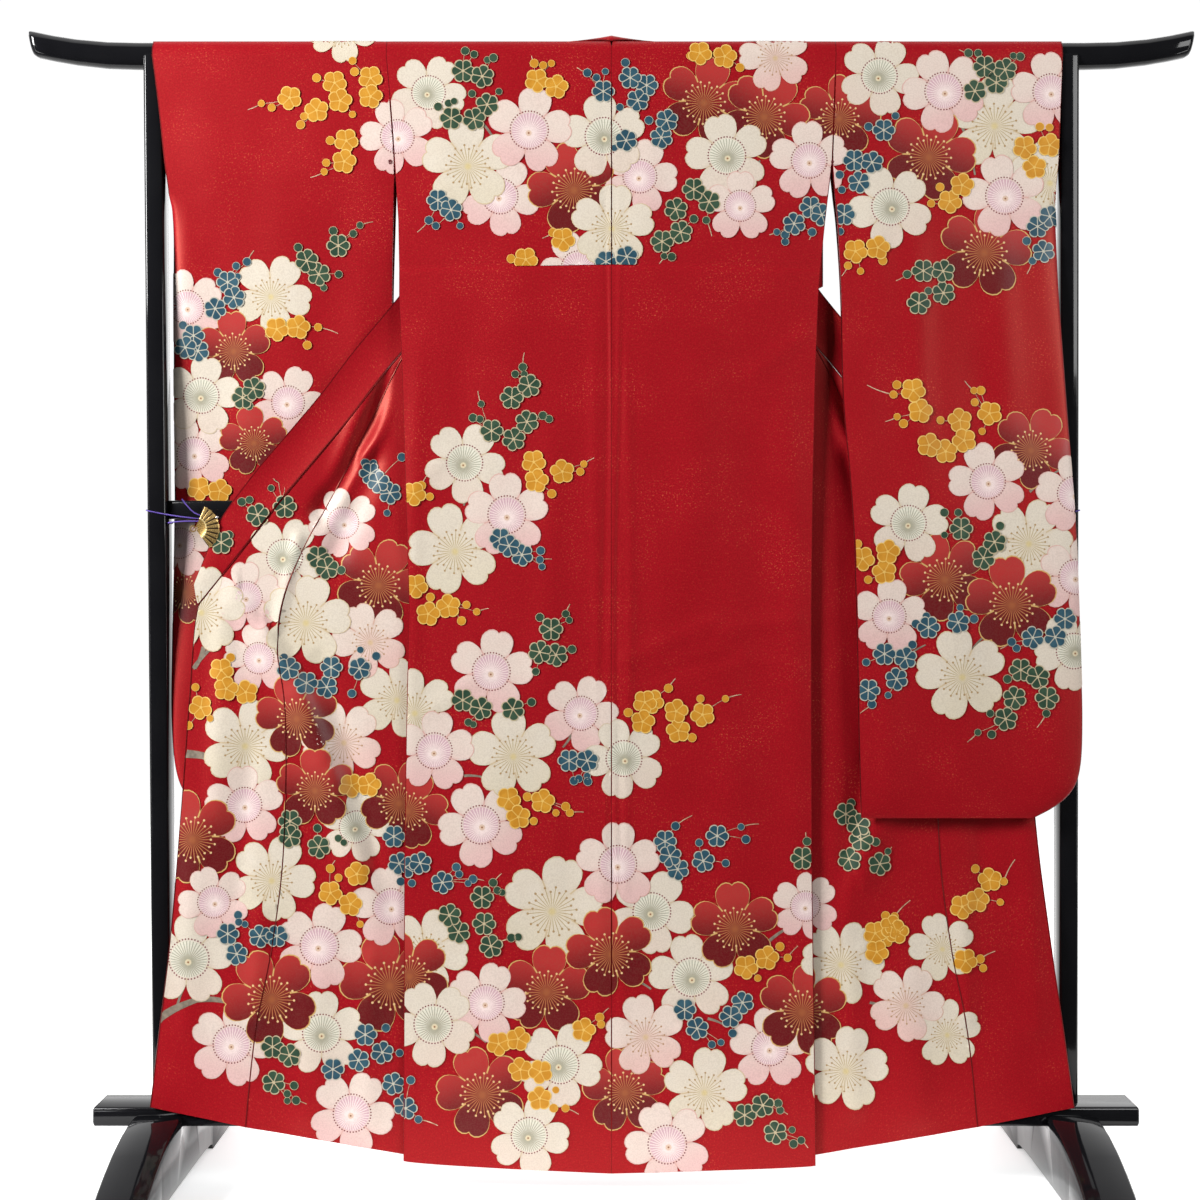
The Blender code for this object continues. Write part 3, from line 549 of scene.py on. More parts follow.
def across_front(side_edge, turn, inner, sign):
    """One row of the front half, from the side edge round the turn."""
    heading = math.atan2(turn[1] - side_edge[1], sign * (turn[0] - side_edge[0]))
    leaving = math.atan2(inner[1] - turn[1], sign * (inner[0] - turn[0]))
    if leaving < -math.pi / 2:
        leaving += 2 * math.pi
    row = [side_edge + (turn - side_edge) * c / SIDE_COLS for c in range(SIDE_COLS + 1)]
    for c in range(TURN_COLS):
        angle = heading + (leaving - heading) * (c + 0.5) / TURN_COLS
        step = np.array((sign * math.cos(angle), math.sin(angle), 0))
        row.append(row[-1] + step * (TURN_LENGTH / TURN_COLS))
    turned = row[-1]
    return row + [turned + (inner - turned) * c / INNER_COLS for c in range(1, INNER_COLS + 1)]


def front_half(back, front, sign):
    """Points of the front half; below the side seam's top they start at the back half."""
    steps = cell_steps(front, 6)
    sewn = sum(steps[:SEWN_FROM])
    back_edge = [row[:3] for row in back]
    rows = []
    for step, row in enumerate(through(front, steps)):
        side_edge, turn, inner = row[:3], row[3:6], row[6:]
        if step >= sewn:
            beside = level(back_edge, side_edge[2])
            side_edge = np.array((beside[0] + sign * SIDE_INSET, beside[1] + SIDE_BEHIND,
                                  side_edge[2]))
        rows.append(across_front(side_edge, turn, inner, sign))
    points = np.array(rows)
    out = points[:, SIDE_COLS + TURN_COLS + 1:]
    out[..., 1] -= fold_lift(out[..., 0], out[..., 2])
    emerged = np.clip((np.abs(out[..., 0]) - BEHIND_BACK) / FOLD_EASE, 0, 1)
    out[..., 1] -= ripple(out[..., 0], out[..., 2], *FRONT_RIPPLE) * emerged
    return points


def bridge(before, rows, after):
    """The rows over the bar with one more in each gap, also toward the rows beside them."""
    rows = np.array([before] + rows + [after])
    made = straight(rows.reshape(len(rows), -1), [2] * (len(rows) - 1))
    return made.reshape(len(made), -1, 3)[1:-1]


def body_points(back, front, sign):
    """Rows of the whole length; also how many belong to the back half and to the bar."""
    u = 1 - (1 - np.arange(ACROSS + 1) / ACROSS) ** CENTRE_CROWD
    half = []
    for sx, sy, sz, cy, cz in straight(back, cell_steps(back)):
        half.append(np.stack([sx + (-sign * CENTRE_HALF - sx) * u, sy + (cy - sy) * u,
                              sz + (cz - sz) * u ** SAG_POWER], -1))
    half = np.array(half)
    half[..., 1] -= back_lift(half[..., 0], half[..., 2])
    bar = []
    for (y, z), neck in zip(OVER_BAR, NECK_EDGE):
        share = 0.5 + 0.5 * y / OVER_BAR_HALF
        edge = back[-1][0] + (front[0][0] - back[-1][0]) * share
        bar.append(np.stack([edge + (-sign * max(neck, CENTRE_HALF) - edge) * u,
                             np.full(u.shape, y), np.full(u.shape, z)], -1))
    rest = front_half(back, front, sign)
    bar = bridge(half[-1], bar, rest[0])
    return np.concatenate([half, bar, rest]), len(half), len(bar)


def unit(vectors):
    """The same directions, each one long."""
    return vectors / np.maximum(np.linalg.norm(vectors, axis=-1, keepdims=True), 1e-9)


def outward(points, side):
    """Unit normals of a cloth grid; side is 1 or -1 for the way its rows run."""
    return side * unit(np.cross(np.gradient(points, axis=1), np.gradient(points, axis=0)))


def turned_edges(points, normals, first=True, last=True):
    """Adds a small rolled edge to the long sides of a cloth grid, as at a pressed seam."""
    made = [points]
    for wanted, edge, beside, down in ((first, 0, 1, normals[:, 0]), (last, -1, -2, normals[:, -1])):
        if not wanted:
            continue
        inward = unit(points[:, beside] - points[:, edge])
        roll = [points[:, edge] - down * ROLL_DOWN[0],
                points[:, edge] - down * ROLL_DOWN[1] + inward * ROLL_IN]
        if edge == 0:
            made = [np.stack(roll[::-1], 1)] + made
        else:
            made = made + [np.stack(roll, 1)]
    return np.concatenate(made, axis=1)


def add_map(mesh, name, flat):
    """Gives a mesh a flat map, from a flat place for each of its points."""
    corners = np.zeros(len(mesh.loops), np.int32)
    mesh.loops.foreach_get("vertex_index", corners)
    mesh.uv_layers.new(name=name).data.foreach_set("uv", flat[corners].ravel())


def sewn_cloth(name, points, thick, finish, nodes, joined=False):
    """A cloth piece from its grid: shelled, smooth, with its flat measures as maps."""
    rows, columns = points.shape[:2]
    index = np.arange(rows * columns).reshape(rows, columns)
    quads = np.stack([index[:-1, :-1], index[:-1, 1:], index[1:, 1:], index[1:, :-1]], -1)
    mesh = bpy.data.meshes.new(name)
    mesh.from_pydata((points.reshape(-1, 3) * MM).tolist(), [], quads.reshape(-1, 4).tolist())
    flat_u = np.zeros((rows, columns))
    flat_u[:, 1:] = np.cumsum(np.linalg.norm(np.diff(points, axis=1), axis=2), axis=1)
    flat_v = np.zeros((rows, columns))
    flat_v[1:] = np.cumsum(np.linalg.norm(np.diff(points, axis=0), axis=2), axis=0)
    add_map(mesh, "weave", np.stack([flat_u, flat_v], -1).reshape(-1, 2) * MM)
    from_edges = np.stack([flat_u, flat_u[:, -1:] - flat_u], -1)
    add_map(mesh, "edges", from_edges.reshape(-1, 2) * MM)
    mesh.materials.append(finish.material)
    cloth = bpy.data.objects.new(name, mesh)
    bpy.context.scene.collection.objects.link(cloth)
    make_active(cloth)
    if joined:
        weld(cloth)
    wall = cloth.modifiers.new("cloth", "SOLIDIFY")
    wall.thickness = thick * MM
    wall.offset = 0
    bpy.ops.object.modifier_apply(modifier=wall.name)
    bpy.ops.object.shade_smooth_by_angle(angle=SMOOTH_BELOW)
    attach(cloth, "root")
    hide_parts(*nodes)


# reds of the weave, its gold flecks brightened into patches of painted sheen, and a painted shadow
# line beside each seam and edge
silk = Finish("red silk", (0.34, 0.004, 0.008), 0.36, Specular_IOR_Level=0.5,
              Specular_Tint=(1.0, 0.30, 0.20, 1.0), Sheen_Weight=0.10, Sheen_Roughness=0.35,
              Sheen_Tint=(1.0, 0.42, 0.24, 1.0))
woven = silk.flat("weave")
crepe = silk.grain(1500.0, 2.0, woven)
pebble = silk.grain(430.0, 2.0, woven)
shade = silk.grain(9.0, 3.0, woven)
gold_fleck_sheen = silk.grain(380.0, 1.0, woven).rise(0.58, 0.76)
red = silk.mix(shade, (0.245, 0.0020, 0.0075), (0.325, 0.0036, 0.012))
red = silk.mix(crepe.rise(0.35, 0.75) * 0.3, red, (0.42, 0.012, 0.016))
red = silk.mix(pebble.rise(0.62, 0.38) * 0.30, red, (0.12, 0.0005, 0.003))
# painted sheen: the weft's gold flecks are brightened toward orange-gold in broad noise patches, as
# where the silk catches the light
red = silk.mix(gold_fleck_sheen * (shade.rise(0.46, 0.68) * 0.42 + 0.12), red, (0.62, 0.12, 0.05))
edges = silk.flat("edges")
first_edge = silk.axis(edges, 0)
seam = first_edge.sum("MINIMUM", first_edge, silk.axis(edges, 1)) / MM
# painted shadow: the silk is darkened toward near black within about 2 mm of each long edge of a
# piece, standing in for the shade in the seams
silk.set("Base Color", silk.mix((1 - seam.rise(1.4, 2.2)) * 0.65, red, (0.045, 0.001, 0.003)))
silk.set("Roughness", crepe * 0.14 + shade * 0.08 + pebble * 0.10 + 0.24)
silk.bump(crepe * 0.7 + silk.grain(330.0, 2.0, woven) * 0.6, 0.22, 0.0006)

BODIES = (("left", 1, BACK_LEFT, FRONT_LEFT), ("right", -1, BACK_RIGHT, FRONT_RIGHT))
bodies = {}
for side, sign, back, front in BODIES:
    bodies[side] = body_points(back, front, sign)
    points = bodies[side][0]
    sewn_cloth("body_cloth_" + side, turned_edges(points, outward(points, sign)), CLOTH, silk,
               ["body_" + side])

# The collar: one long strip of the same silk, doubled, round the back of the neck and
# down both front edges to the pins, twisting over as it goes.

COLLAR_THICK = 2.6
# from the back of the neck to the left pin: seam edge (f), two points that shape the
# strip between, free edge (e)
COLLAR_HALF = (
    (0, -12.2, 1662.0, 0, -9.5, 1677.6, 0, 15.5, 1677.6, 0, 21.0, 1641),
    (-22.5, -6.0, 1665.2, -22.3, -3.0, 1671.5, -21.5, 16.0, 1673.0, -20, 22.0, 1638),
    (-49.0, 1.0, 1665.7, -48, 6.0, 1667.8, -45, 20.0, 1667.5, -40, 24.0, 1626),
    (-67.0, 9.6, 1665.0, -66, 15.0, 1664.0, -59, 25.0, 1655.0, -51, 27.0, 1610),
    (-76.5, 21.6, 1650.0, -74, 24.5, 1642.0, -66, 27.5, 1622.0, -58, 29.0, 1594),
    (-110, 20.4, 1574.0, -104, 26.0, 1568.0, -96, 32.0, 1560.0, -86, 38.0, 1548),
    (-163.5, 9.2, 1491.0, -160, 20.0, 1488.0, -156, 33.0, 1482.0, -152, 46.0, 1476),
    (-211, -0.6, 1370.5, -219, 7.0, 1376.0, -230, 17.0, 1386.0, -240, 26.0, 1394),
    (-266, -6.4, 1261.0, -280, -4.0, 1270.0, -296, -5.0, 1281.0, -309.5, -8.0, 1292),
    (-331, -11.4, 1179.0, -344, -9.5, 1190.0, -360, -9.0, 1202.0, -374, -12.0, 1213),
    (-379, -14.8, 1115.0, -392, -12.5, 1126.0, -408, -11.5, 1138.0, -422, -16.0, 1149),
    (-426, -18.0, 1058.0, -439, -15.5, 1069.0, -455, -14.5, 1081.0, -469, -19.5, 1092),
    (-472, -20.2, 1003.0, -485, -18.5, 1014.0, -501, -18.0, 1026.0, -515, -22.0, 1037),
    (-522.5, -22.6, 938.0, -534, -22.6, 948.0, -549, -22.8, 960.0, -563, -23.5, 971),
    (-561, -24.0, 889.0, -567, -25.2, 900.0, -575, -26.0, 913.0, -583, -24.5, 925),
    (-598, -25.4, 843.0, -600, -25.8, 852.0, -602, -26.0, 863.0, -603, -25.6, 873),
)
COLLAR_COLS = 10


def collar_half():
    """The strip from the back of the neck to a pin, a smooth curve across each row."""
    rows = through(COLLAR_HALF, cell_steps(COLLAR_HALF))[:, None]
    t = (np.arange(COLLAR_COLS + 1) / COLLAR_COLS)[None, :, None]
    f, p, q, e = (rows[..., i:i + 3] for i in (0, 3, 6, 9))
    return (1 - t) ** 3 * f + 3 * (1 - t) ** 2 * t * p + 3 * (1 - t) * t ** 2 * q + t ** 3 * e


left_collar = collar_half()
right_collar = left_collar * (-1, 1, 1)
collar_points = np.concatenate([left_collar[::-1], right_collar[1:]])
sewn_cloth("collar_cloth", collar_points, COLLAR_THICK, silk, ["collar"])

# The okumi: a narrow panel sewn to each front edge, its upper outer edge under the
# collar and its lower one the free edge of the front.

OKUMI_FROM = 7
OKUMI_GAP = 0.25
BESIDE_COLLAR = np.array((0.85, 0.0, -0.7))
# heights at which its outer edge meets the collar, then the free outer edge, a row for
# each front row from the point at the collar down
COLLAR_MEETS = (1224, 1190, 1114, 1036, 962, 894, 844)
OKUMI_EDGE_LEFT = (
    (-610, -26.6, 705), (-622, -28.6, 535), (-637, -31.8, 350),
    (-652, -35.6, 222), (-663, -39.6, 121),
)
OKUMI_EDGE_RIGHT = (
    (604, -26.6, 705), (611, -28.6, 535), (634, -31.8, 350),
    (652, -35.6, 222), (665, -39.6, 120),
)
OKUMI_COLS = 24


def okumi_points(back, front, edge, sign):
    """Starts beside the body's inner edge, row for row."""
    steps = cell_steps(front, 6)
    seam = front_half(back, front, sign)[sum(steps[:OKUMI_FROM]):, -1]
    collar_edge = left_collar[:, 0]
    meets = [level(collar_edge, z) + BESIDE_COLLAR for z in COLLAR_MEETS]
    outer = [(sign * p[0], p[1], p[2]) for p in meets] + list(edge)
    outer = through(outer, steps[OKUMI_FROM:])
    for step in range(sum(steps[OKUMI_FROM:OKUMI_FROM + len(meets) - 1]) + 1):
        point = level(collar_edge, outer[step][2] - BESIDE_COLLAR[2]) + BESIDE_COLLAR
        outer[step] = (sign * point[0], point[1], point[2])
    start = seam - (sign * OKUMI_GAP, 0, 0)
    settled = start.copy()
    settled[:, 1] += fold_lift(start[:, 0], start[:, 2])
    t = (np.arange(OKUMI_COLS + 1) / OKUMI_COLS)[None, :, None]
    points = settled[:, None] + (outer - settled)[:, None] * t
    lift = fold_lift(points[..., 0], points[..., 2])
    lift += (ripple(points[..., 0], points[..., 2], *FRONT_RIPPLE)
             * np.clip(t[..., 0] * 4, 0, 1))
    points[..., 1] -= lift
    return points


okumi = {}
for (side, sign, back, front), edge in zip(BODIES, (OKUMI_EDGE_LEFT, OKUMI_EDGE_RIGHT)):
    points = okumi[side] = okumi_points(back, front, edge, sign)
    sewn_cloth("okumi_cloth_" + side, turned_edges(points, outward(points, -sign)), CLOTH,
               silk, ["okumi_" + side])

# The sleeves: one length each, folded at the top and sewn round the outer and lower
# edges with a rounded corner, open at the cuff and along the inner edge.

# z, inner x, outer x, y of the layer toward the viewer, y of the rear layer
SLEEVE_LEFT = (
    (1640, -326.8, -666, -19.4, 19.4), (1570, -320.8, -657, -20.0, 19.6),
    (1488, -314.8, -648, -21.0, 18.0), (1440, -316, -642, -18.0, 16.0),
    (1390, -317.5, -639, -13.5, 15.0), (1290, -320, -640, -4.0, 13.5),
    (1145, -321, -641, 6.0, 16.0), (1030, -321, -641, 10.6, 19.0),
    (950, -321, -641, 10.6, 19.0), (870, -321, -641, 3.0, 14.0),
    (770, -321.5, -641, -8.0, 5.0), (680, -322, -640, -14.0, -1.0),
    (610, -322, -634, -16.0, -4.0), (572, -322, -621, -16.5, -6.0),
    (549, -322, -597, -16.5, -8.0), (537, -322, -570, -16.0, -10.0),
)
SLEEVE_RIGHT = (
    (1640, 325.8, 654, -19.4, 19.4), (1570, 323.3, 651, -20.0, 17.0),
    (1488, 320.3, 647.5, -21.2, 12.0), (1440, 323, 643, -23.6, 4.0),
    (1390, 327, 643.5, -27.0, -7.0), (1290, 331.5, 646, -32.5, -20.0),
    (1145, 334, 654, -40.0, -31.0), (1030, 343, 661, -46.5, -38.5),
    (950, 348, 666, -50.5, -42.0), (870, 350.5, 669, -52.0, -43.0),
    (770, 353, 672, -53.0, -44.0), (680, 354.5, 674, -54.0, -44.5),
    (615, 356, 671.5, -54.0, -44.5), (580, 357, 661, -53.5, -44.5),
    (556, 357.5, 637, -53.0, -45.0), (538, 358, 604, -51.5, -46.5),
)
CUFF_ROW = 3
SLEEVE_COLS = 40
# how the cells crowd toward the outer edge, and over what width that edge rounds shut
CROWDING = 1.5
BAG_EDGE = 26.0
# measured in half rows of the tables
SHUT_FROM = CUFF_ROW * 2 + 1
BELOW_CUFF_ROWS = 3
BELOW_CUFF_SPREAD = 0.35
BAG_BOTTOM_ROWS = 4
# its waviness and creases: none near the fold at the top, and less in the rear layer
SLEEVE_RIPPLE = (60, 1.4)
SLEEVE_CREASE_FADES = 140
SLEEVE_SWAY = 6
SLEEVE_SWAY_SLOWNESS = 150
SMOOTH_ABOVE = 1600
SMOOTH_FADES = 90
REAR_SHARE = 0.8
# soft ridges of the hanging sleeve: share of its width, low z, high z, width, height
SLEEVE_CREASES = {
    "left": (
        (0.14, 640, 1380, 24, 1.5), (0.31, 560, 1120, 34, -1.2), (0.46, 820, 1500, 40, 1.4),
        (0.63, 600, 1290, 36, 1.2), (0.78, 700, 1420, 26, -1.1), (0.90, 620, 1180, 20, 1.2),
    ),
    "right": (
        (0.33, 990, 1440, 20, 3.0), (0.72, 1030, 1480, 24, 2.7), (0.13, 500, 800, 34, 3.0),
        (0.88, 500, 830, 26, 2.6), (0.47, 560, 1010, 40, 2.2), (0.60, 600, 1290, 30, -1.1),
        (0.16, 1120, 1560, 26, 1.8),
    ),
}


def sleeve_points(table, seed, creases):
    """The whole length: up the layer toward the viewer, over the bar, down the rear one."""
    steps = cell_steps([(row[1], row[3], row[0]) for row in table])
    rows = through(table, steps)
    last = (len(table) - 1) * 2
    at = np.concatenate([[(i + k / count) * 2 for k in range(count)]
                         for i, count in enumerate(steps)] + [[last]])
    u = 1 - (1 - np.arange(SLEEVE_COLS + 1) / SLEEVE_COLS) ** CROWDING
    view, rear = [], []
    for s, (z, x_in, x_out, y_view, y_rear) in zip(at, rows):
        x = x_in + (x_out - x_in) * u
        spread = np.ones(u.shape)
        if s > SHUT_FROM - 1:
            edge = np.clip((1 - u) * abs(x_out - x_in) / BAG_EDGE, 0, 1)
            shut = np.sqrt(1 - (1 - edge) ** 2)
            ease = min(1.0, max(s - SHUT_FROM + 1, 1) / BELOW_CUFF_ROWS)
            shut = shut * ease + (1 - ease) * np.minimum(1, shut + BELOW_CUFF_SPREAD)
            shut[-1] = 0
            spread += (shut - 1) * min(1.0, s - SHUT_FROM + 1)
        if s > last - BAG_BOTTOM_ROWS:
            spread = spread * math.sqrt((last - s) / BAG_BOTTOM_ROWS)
        middle = (y_view + y_rear) / 2
        lift = ripple(x, np.full(x.shape, z), *SLEEVE_RIPPLE, seed)
        sway = SLEEVE_SWAY * math.sin(z / SLEEVE_SWAY_SLOWNESS + seed)
        for share, low, high, width, height in creases:
            reach = (x - x_in - (x_out - x_in) * share - sway) / width
            ends = (min(1.0, max(0.0, (z - low) / SLEEVE_CREASE_FADES))
                    * min(1.0, max(0.0, (high - z) / SLEEVE_CREASE_FADES)))
            lift += height * np.exp(-reach * reach) * ends
        lift *= np.clip(u * 9, 0, 1) * np.clip(spread * 1.6 - 0.6, 0, 1)
        lift *= min(1.0, max(0.0, (SMOOTH_ABOVE - z) / SMOOTH_FADES))
        height_z = np.full(x.shape, z)
        view.append(np.stack([x, middle + (y_view - middle) * spread - lift, height_z], -1))
        rear.append(np.stack([x, middle + (y_rear - middle) * spread - lift * REAR_SHARE,
                              height_z], -1))
    bar = [np.stack([view[0][:, 0], np.full(u.shape, y), np.full(u.shape, z)], -1)
           for y, z in OVER_BAR]
    bar = bridge(view[0], bar, rear[0])
    return np.concatenate([np.array(view)[::-1], bar, np.array(rear)]), len(view), len(bar)


sleeves = {}
for side, sign, table, seed in (("left", -1, SLEEVE_LEFT, 1.3), ("right", 1, SLEEVE_RIGHT, 5.2)):
    sleeves[side] = sleeve_points(table, seed, SLEEVE_CREASES[side])
    points = sleeves[side][0]
    sewn_cloth("sleeve_cloth_" + side,
               turned_edges(points, outward(points, sign), last=False), CLOTH, silk,
               ["sleeve_" + side], joined=True)

# The print: cherry blossoms with sprays of small plum flowers, dyed on the silk before it
# was sewn, with lines and hearts drawn in gold paste. It lies on the panels' outer faces
# as thin joined patches and runs on across the seams.

# The places below were noted from the enlarged photograph, as pixel columns and rows.
# The cloth lies nearly flat to the camera there, so a scale for each part of it turns them
# into millimetres on the hung garment. Only places and radii are noted, and no outlines.
# the row that the camera looks at straight, and how high that is on the garment
LEVEL_ROW = 600
LEVEL_UP = 850
MM_PER_PIXEL = {"shoulder": 1.446, "sleeves_l": 1.458, "sleeves_r": 1.432, "back": 1.444,
                "front_l": 1.449, "front_r": 1.449}
# each blossom: column, row, kind, radius; capitals have a ring of dots (P pink, w white)
# or stamens (W white, p pink, R red)
BLOOM_NOTES = {
    "shoulder": """
        428,92,w,38 397,136,P,38 468,163,W,46 529,130,P,43 500,196,P,40 573,187,R,46
        604,136,w,42 612,226,W,42 640,176,P,38 578,268,P,38 727,155,w,42 740,206,P,35
        705,99,R,45 766,114,R,45 775,55,p,36 809,160,P,40 840,115,R,42 880,75,w,40 944,90,P,42
        1051,91,P,40 995,122,W,48 930,154,R,47 890,207,w,42 1004,196,P,42 1050,180,W,42
        984,251,R,47 341,28,W,34""",
    "sleeves_l": """
        273,295,W,40 187,307,P,38 233,348,R,38 200,395,w,40 287,402,P,37 192,453,P,38
        252,440,R,35 178,543,P,34 185,590,R,34""",
    "sleeves_r": """
        1033,448,R,42 988,481,P,40 1075,494,P,40 908,523,w,40 1030,541,W,43 943,577,R,45
        1011,602,R,47 889,616,P,38 1076,577,P,40 1073,651,w,40 961,674,W,46""",
    "back": """
        465,463,w,41 454,549,W,46 507,515,P,42 492,671,P,42 581,713,P,38 624,758,w,40
        513,753,W,44 435,750,P,40 409,808,R,40 481,824,P,43 415,710,W,42 618,863,P,42
        553,907,W,52 652,910,w,42 610,950,R,45 734,924,R,44 805,905,P,34 427,949,W,42
        409,972,R,42 691,975,w,43 547,987,R,44 487,1000,P,40 434,1022,w,43 645,1032,p,40
        769,1045,P,40 802,1007,R,46 560,1062,w,42 482,1089,R,46 625,1087,R,43 704,1087,W,42
        530,1132,w,40 667,1141,P,43""",
    "front_l": """
        285,557,w,40 343,523,P,35 247,597,P,36 307,620,W,45 380,583,R,45 370,640,p,38
        260,658,P,35 203,610,W,44 247,743,W,45 343,740,p,40 298,715,R,42 317,787,R,40
        398,697,W,40 402,800,R,42 194,835,R,47 246,804,P,39 357,826,w,35 275,877,W,43
        216,900,P,36 392,905,P,40 191,957,w,45 321,944,P,43 272,994,R,48 390,980,R,50
        324,1030,w,42 235,1041,P,42 354,1109,P,42""",
    "front_r": """
        841,960,W,42 940,945,W,34 945,1030,W,34 845,1065,W,42 905,1000,p,38""",
}
# each spray, with ; after it: kind | flowers | buds | ends of its twigs
SPRAY_NOTES = {
    "shoulder": """
        g|463,70 482,76 487,104 451,118 474,119|465,50 474,54 487,59 493,57 472,93 499,91 438,106
          448,103 454,101|;
        g|694,189 676,209 709,202 662,242 681,232|694,219 706,220 664,256 672,257|712,236 659,264;
        g|985,66 1006,69 975,90 997,82|969,52 979,52 1014,55 1021,56|960,49;
        g|922,272 942,272 942,294 917,305|906,276 927,292|895,282;
        g|337,244 305,259 317,272|332,229 352,232 359,224 297,246 337,272 322,285|372,220;
        b|603,91|587,72 596,77 605,71|577,67;
        b|630,77 638,100 626,140|625,62 620,107 614,148|;
        b|438,200 451,210|429,220 436,226 460,226|417,232;
        b|606,262 627,257||;
        b|647,85 667,120 661,137|649,120|;
        b|811,207 822,215 794,224 844,215|785,235 785,242 777,232 812,232 840,232|769,235 809,240;
        b|884,130|869,126 896,115|;
        b|854,160 872,162 859,182|840,175 842,190|;
        b|1037,227 1049,217 1042,252|1026,242 1031,262|1026,275;
        b|225,280 231,295 212,306|215,270 234,264 235,274 245,260|252,249;
        o|537,80 556,86|534,63 543,65 551,63|531,55;
        o|563,240|553,233|542,238;
        o|526,260|511,259|;
        o|700,52 725,56|740,67 690,55|;
        o|855,252 877,249|882,262 847,267 860,272|841,277;
        o|950,202 962,185|940,187 931,204|;
        o|1025,147 1050,145 1035,167|1040,126 1050,127|;
        o|334,82 340,100 316,110 289,97|316,77 271,107 261,103 300,124 304,116 352,114|247,109;
        o|370,77 370,96|354,71 352,60|342,58;
        o|346,140 344,161|330,140 326,162 324,171|310,177""",
    "sleeves_l": """
        b|193,335 185,347 197,350|183,325|;
        g|242,397 253,388|248,405|;
        o|277,329 298,327|307,345 318,327|338,333;
        o|197,488 218,490||""",
    "sleeves_r": """
        g|961,529 994,542 983,558|944,513 958,513 944,535 1000,526|;
        g|1020,670 1037,677 1014,698 1046,698 1005,719|1007,679 989,713 977,732 991,734
          1045,713|966,742 1036,727;
        b|928,627 957,622|915,624 926,616 959,608 973,619|;
        b|1064,619 1054,637 1032,638|1011,642 1016,648|1000,649;
        b|884,654 905,658 896,679 868,690|912,645 866,662 887,695 871,704|858,713;
        o|914,390 921,411 961,420 991,413 929,445 946,451 965,440|898,384 894,394 898,416 904,423
          941,420 975,390 982,390 976,402 983,431|868,384 886,421 966,380;
        o|862,559 887,552 884,572|857,544 868,580|""",
    "back": """
        g|492,431 514,439 527,422 512,398 529,386|523,367 515,374 524,374 543,416 549,419 481,404
          473,418 480,419|524,353 478,391;
        g|551,629 540,652 556,655|540,617 566,614 569,620 572,649 536,671|570,604;
        g|463,700 481,708 513,709|532,702 469,722 474,724|;
        g|483,896 450,914 459,930 485,922 492,944|494,881 498,889 503,891 512,936 519,935|502,872;
        g|744,1112 762,1102 774,1129|777,1100 779,1107 791,1126 792,1140 800,1137|787,1111
          807,1144;
        b|501,539 509,546 522,555|541,551 540,560 542,567|552,559;
        b|569,760 587,760|574,780 579,778 587,775 588,781|;
        b|406,866 421,862 443,881|457,866 460,873 469,882 474,878 413,882|485,879;
        b|684,1007 697,1026 742,1000 730,1014|732,1031 711,1042 720,1040|;
        b|407,1105|412,1077 420,1116|439,1122;
        b|665,840 670,855 677,868 717,835 703,860|675,825 699,842 740,826 745,838 725,862|692,815
          758,823;
        g|801,857|806,840|805,831;
        o|534,462 537,481 562,472|552,494 580,472 584,464|594,458;
        o|414,494|422,486 430,497|427,475;
        o|416,586 429,614 449,606|431,597 467,605 477,612 462,621|489,608;
        o|645,702 643,721|628,712|;
        o|652,701 676,711 678,730 702,714|668,688 700,698 725,698 692,737|675,678 741,694;
        o|509,798 543,800 519,816|528,796 534,820 556,812 566,806 570,812|584,811;
        o|745,965 766,956|779,945 787,956 757,976|797,944;
        o|499,1041 519,1036 521,1067 541,1069 584,1027 540,1095|600,1015 601,1022 556,1087
          554,1105 566,1105|609,1006 579,1111""",
    "front_l": """
        g|285,507 258,515|242,502 250,500 271,488 278,478 286,483|279,463;
        g|222,543|230,535|;
        g|318,557 327,568|342,570|;
        g|291,820 291,835 320,846|319,827 340,837 346,841|;
        g|275,1044 292,1052 276,1079|297,1082 290,1090 290,1097 299,1096|309,1100;
        b|370,473 378,482 390,493|365,463 373,463 387,513 402,457|;
        b|332,667 360,668 327,687 307,683 290,668|353,693 285,657 361,650 377,656|;
        b|230,932 239,952 262,934 279,934|240,913 241,920 247,922|;
        b|395,835 400,862|402,880|;
        b|367,1031 384,1049 360,1057 335,1066 395,1080 406,1102|387,1025 401,1050|;
        o|223,670 228,688 247,692 202,707|232,657 197,687 212,718 190,725|;
        o|352,785 370,784||;
        o|332,891 352,902 359,872|332,867 340,876 362,922|337,859""",
    "front_r": """
        g|845,813 857,824|850,802|;
        o|874,931 890,925|884,914 893,915|909,899;
        o|875,950 895,930|886,940|;
        g|860,838 848,858 878,862|874,840 852,812 886,850|890,846;
        o|960,905 976,899 988,879|974,868 1002,880 999,901|1013,858;
        o|963,958|978,957 981,966|993,949""",
}
# each branch: from column,row to column,row, and its width in millimetres
STEM_NOTES = {
    "shoulder": """
        715,176,735,140,4 745,180,760,160,4 600,205,590,150,4 480,120,500,150,4
        960,120,975,175,4 905,150,900,180,4""",
    "sleeves_l": "",
    "sleeves_r": """
        964,660,988,632,4 1030,492,1060,470,4 905,658,925,645,3""",
    "back": """
        465,775,481,776,4 481,776,499,787,3 572,734,563,747,4 631,977,651,987,4
        432,980,464,1025,6 464,1025,487,1040,4 765,942,790,925,5 707,1016,722,1022,4
        655,1072,672,1082,4 466,488,464,506,4""",
    "front_l": """
        160,1017,200,997,12 200,997,235,1000,9 180,1004,187,985,4 188,753,222,760,12
        205,647,196,668,7 194,668,222,640,6""",
    "front_r": """
        868,1000,886,1006,4""",
}


def on_cloth(column, row, zone):
    """Millimetres to the right and up on the hung garment for a place in the photograph."""
    scale = MM_PER_PIXEL[zone]
    return (round((float(column) - MIDDLE_COLUMN) * scale),
            round(LEVEL_UP + (LEVEL_ROW - float(row)) * scale))


def places(text, zone):
    """All the places of a list of column,row as one run of numbers: x, z, x, z."""
    return tuple(value for pair in text.split() for value in on_cloth(*pair.split(","), zone))


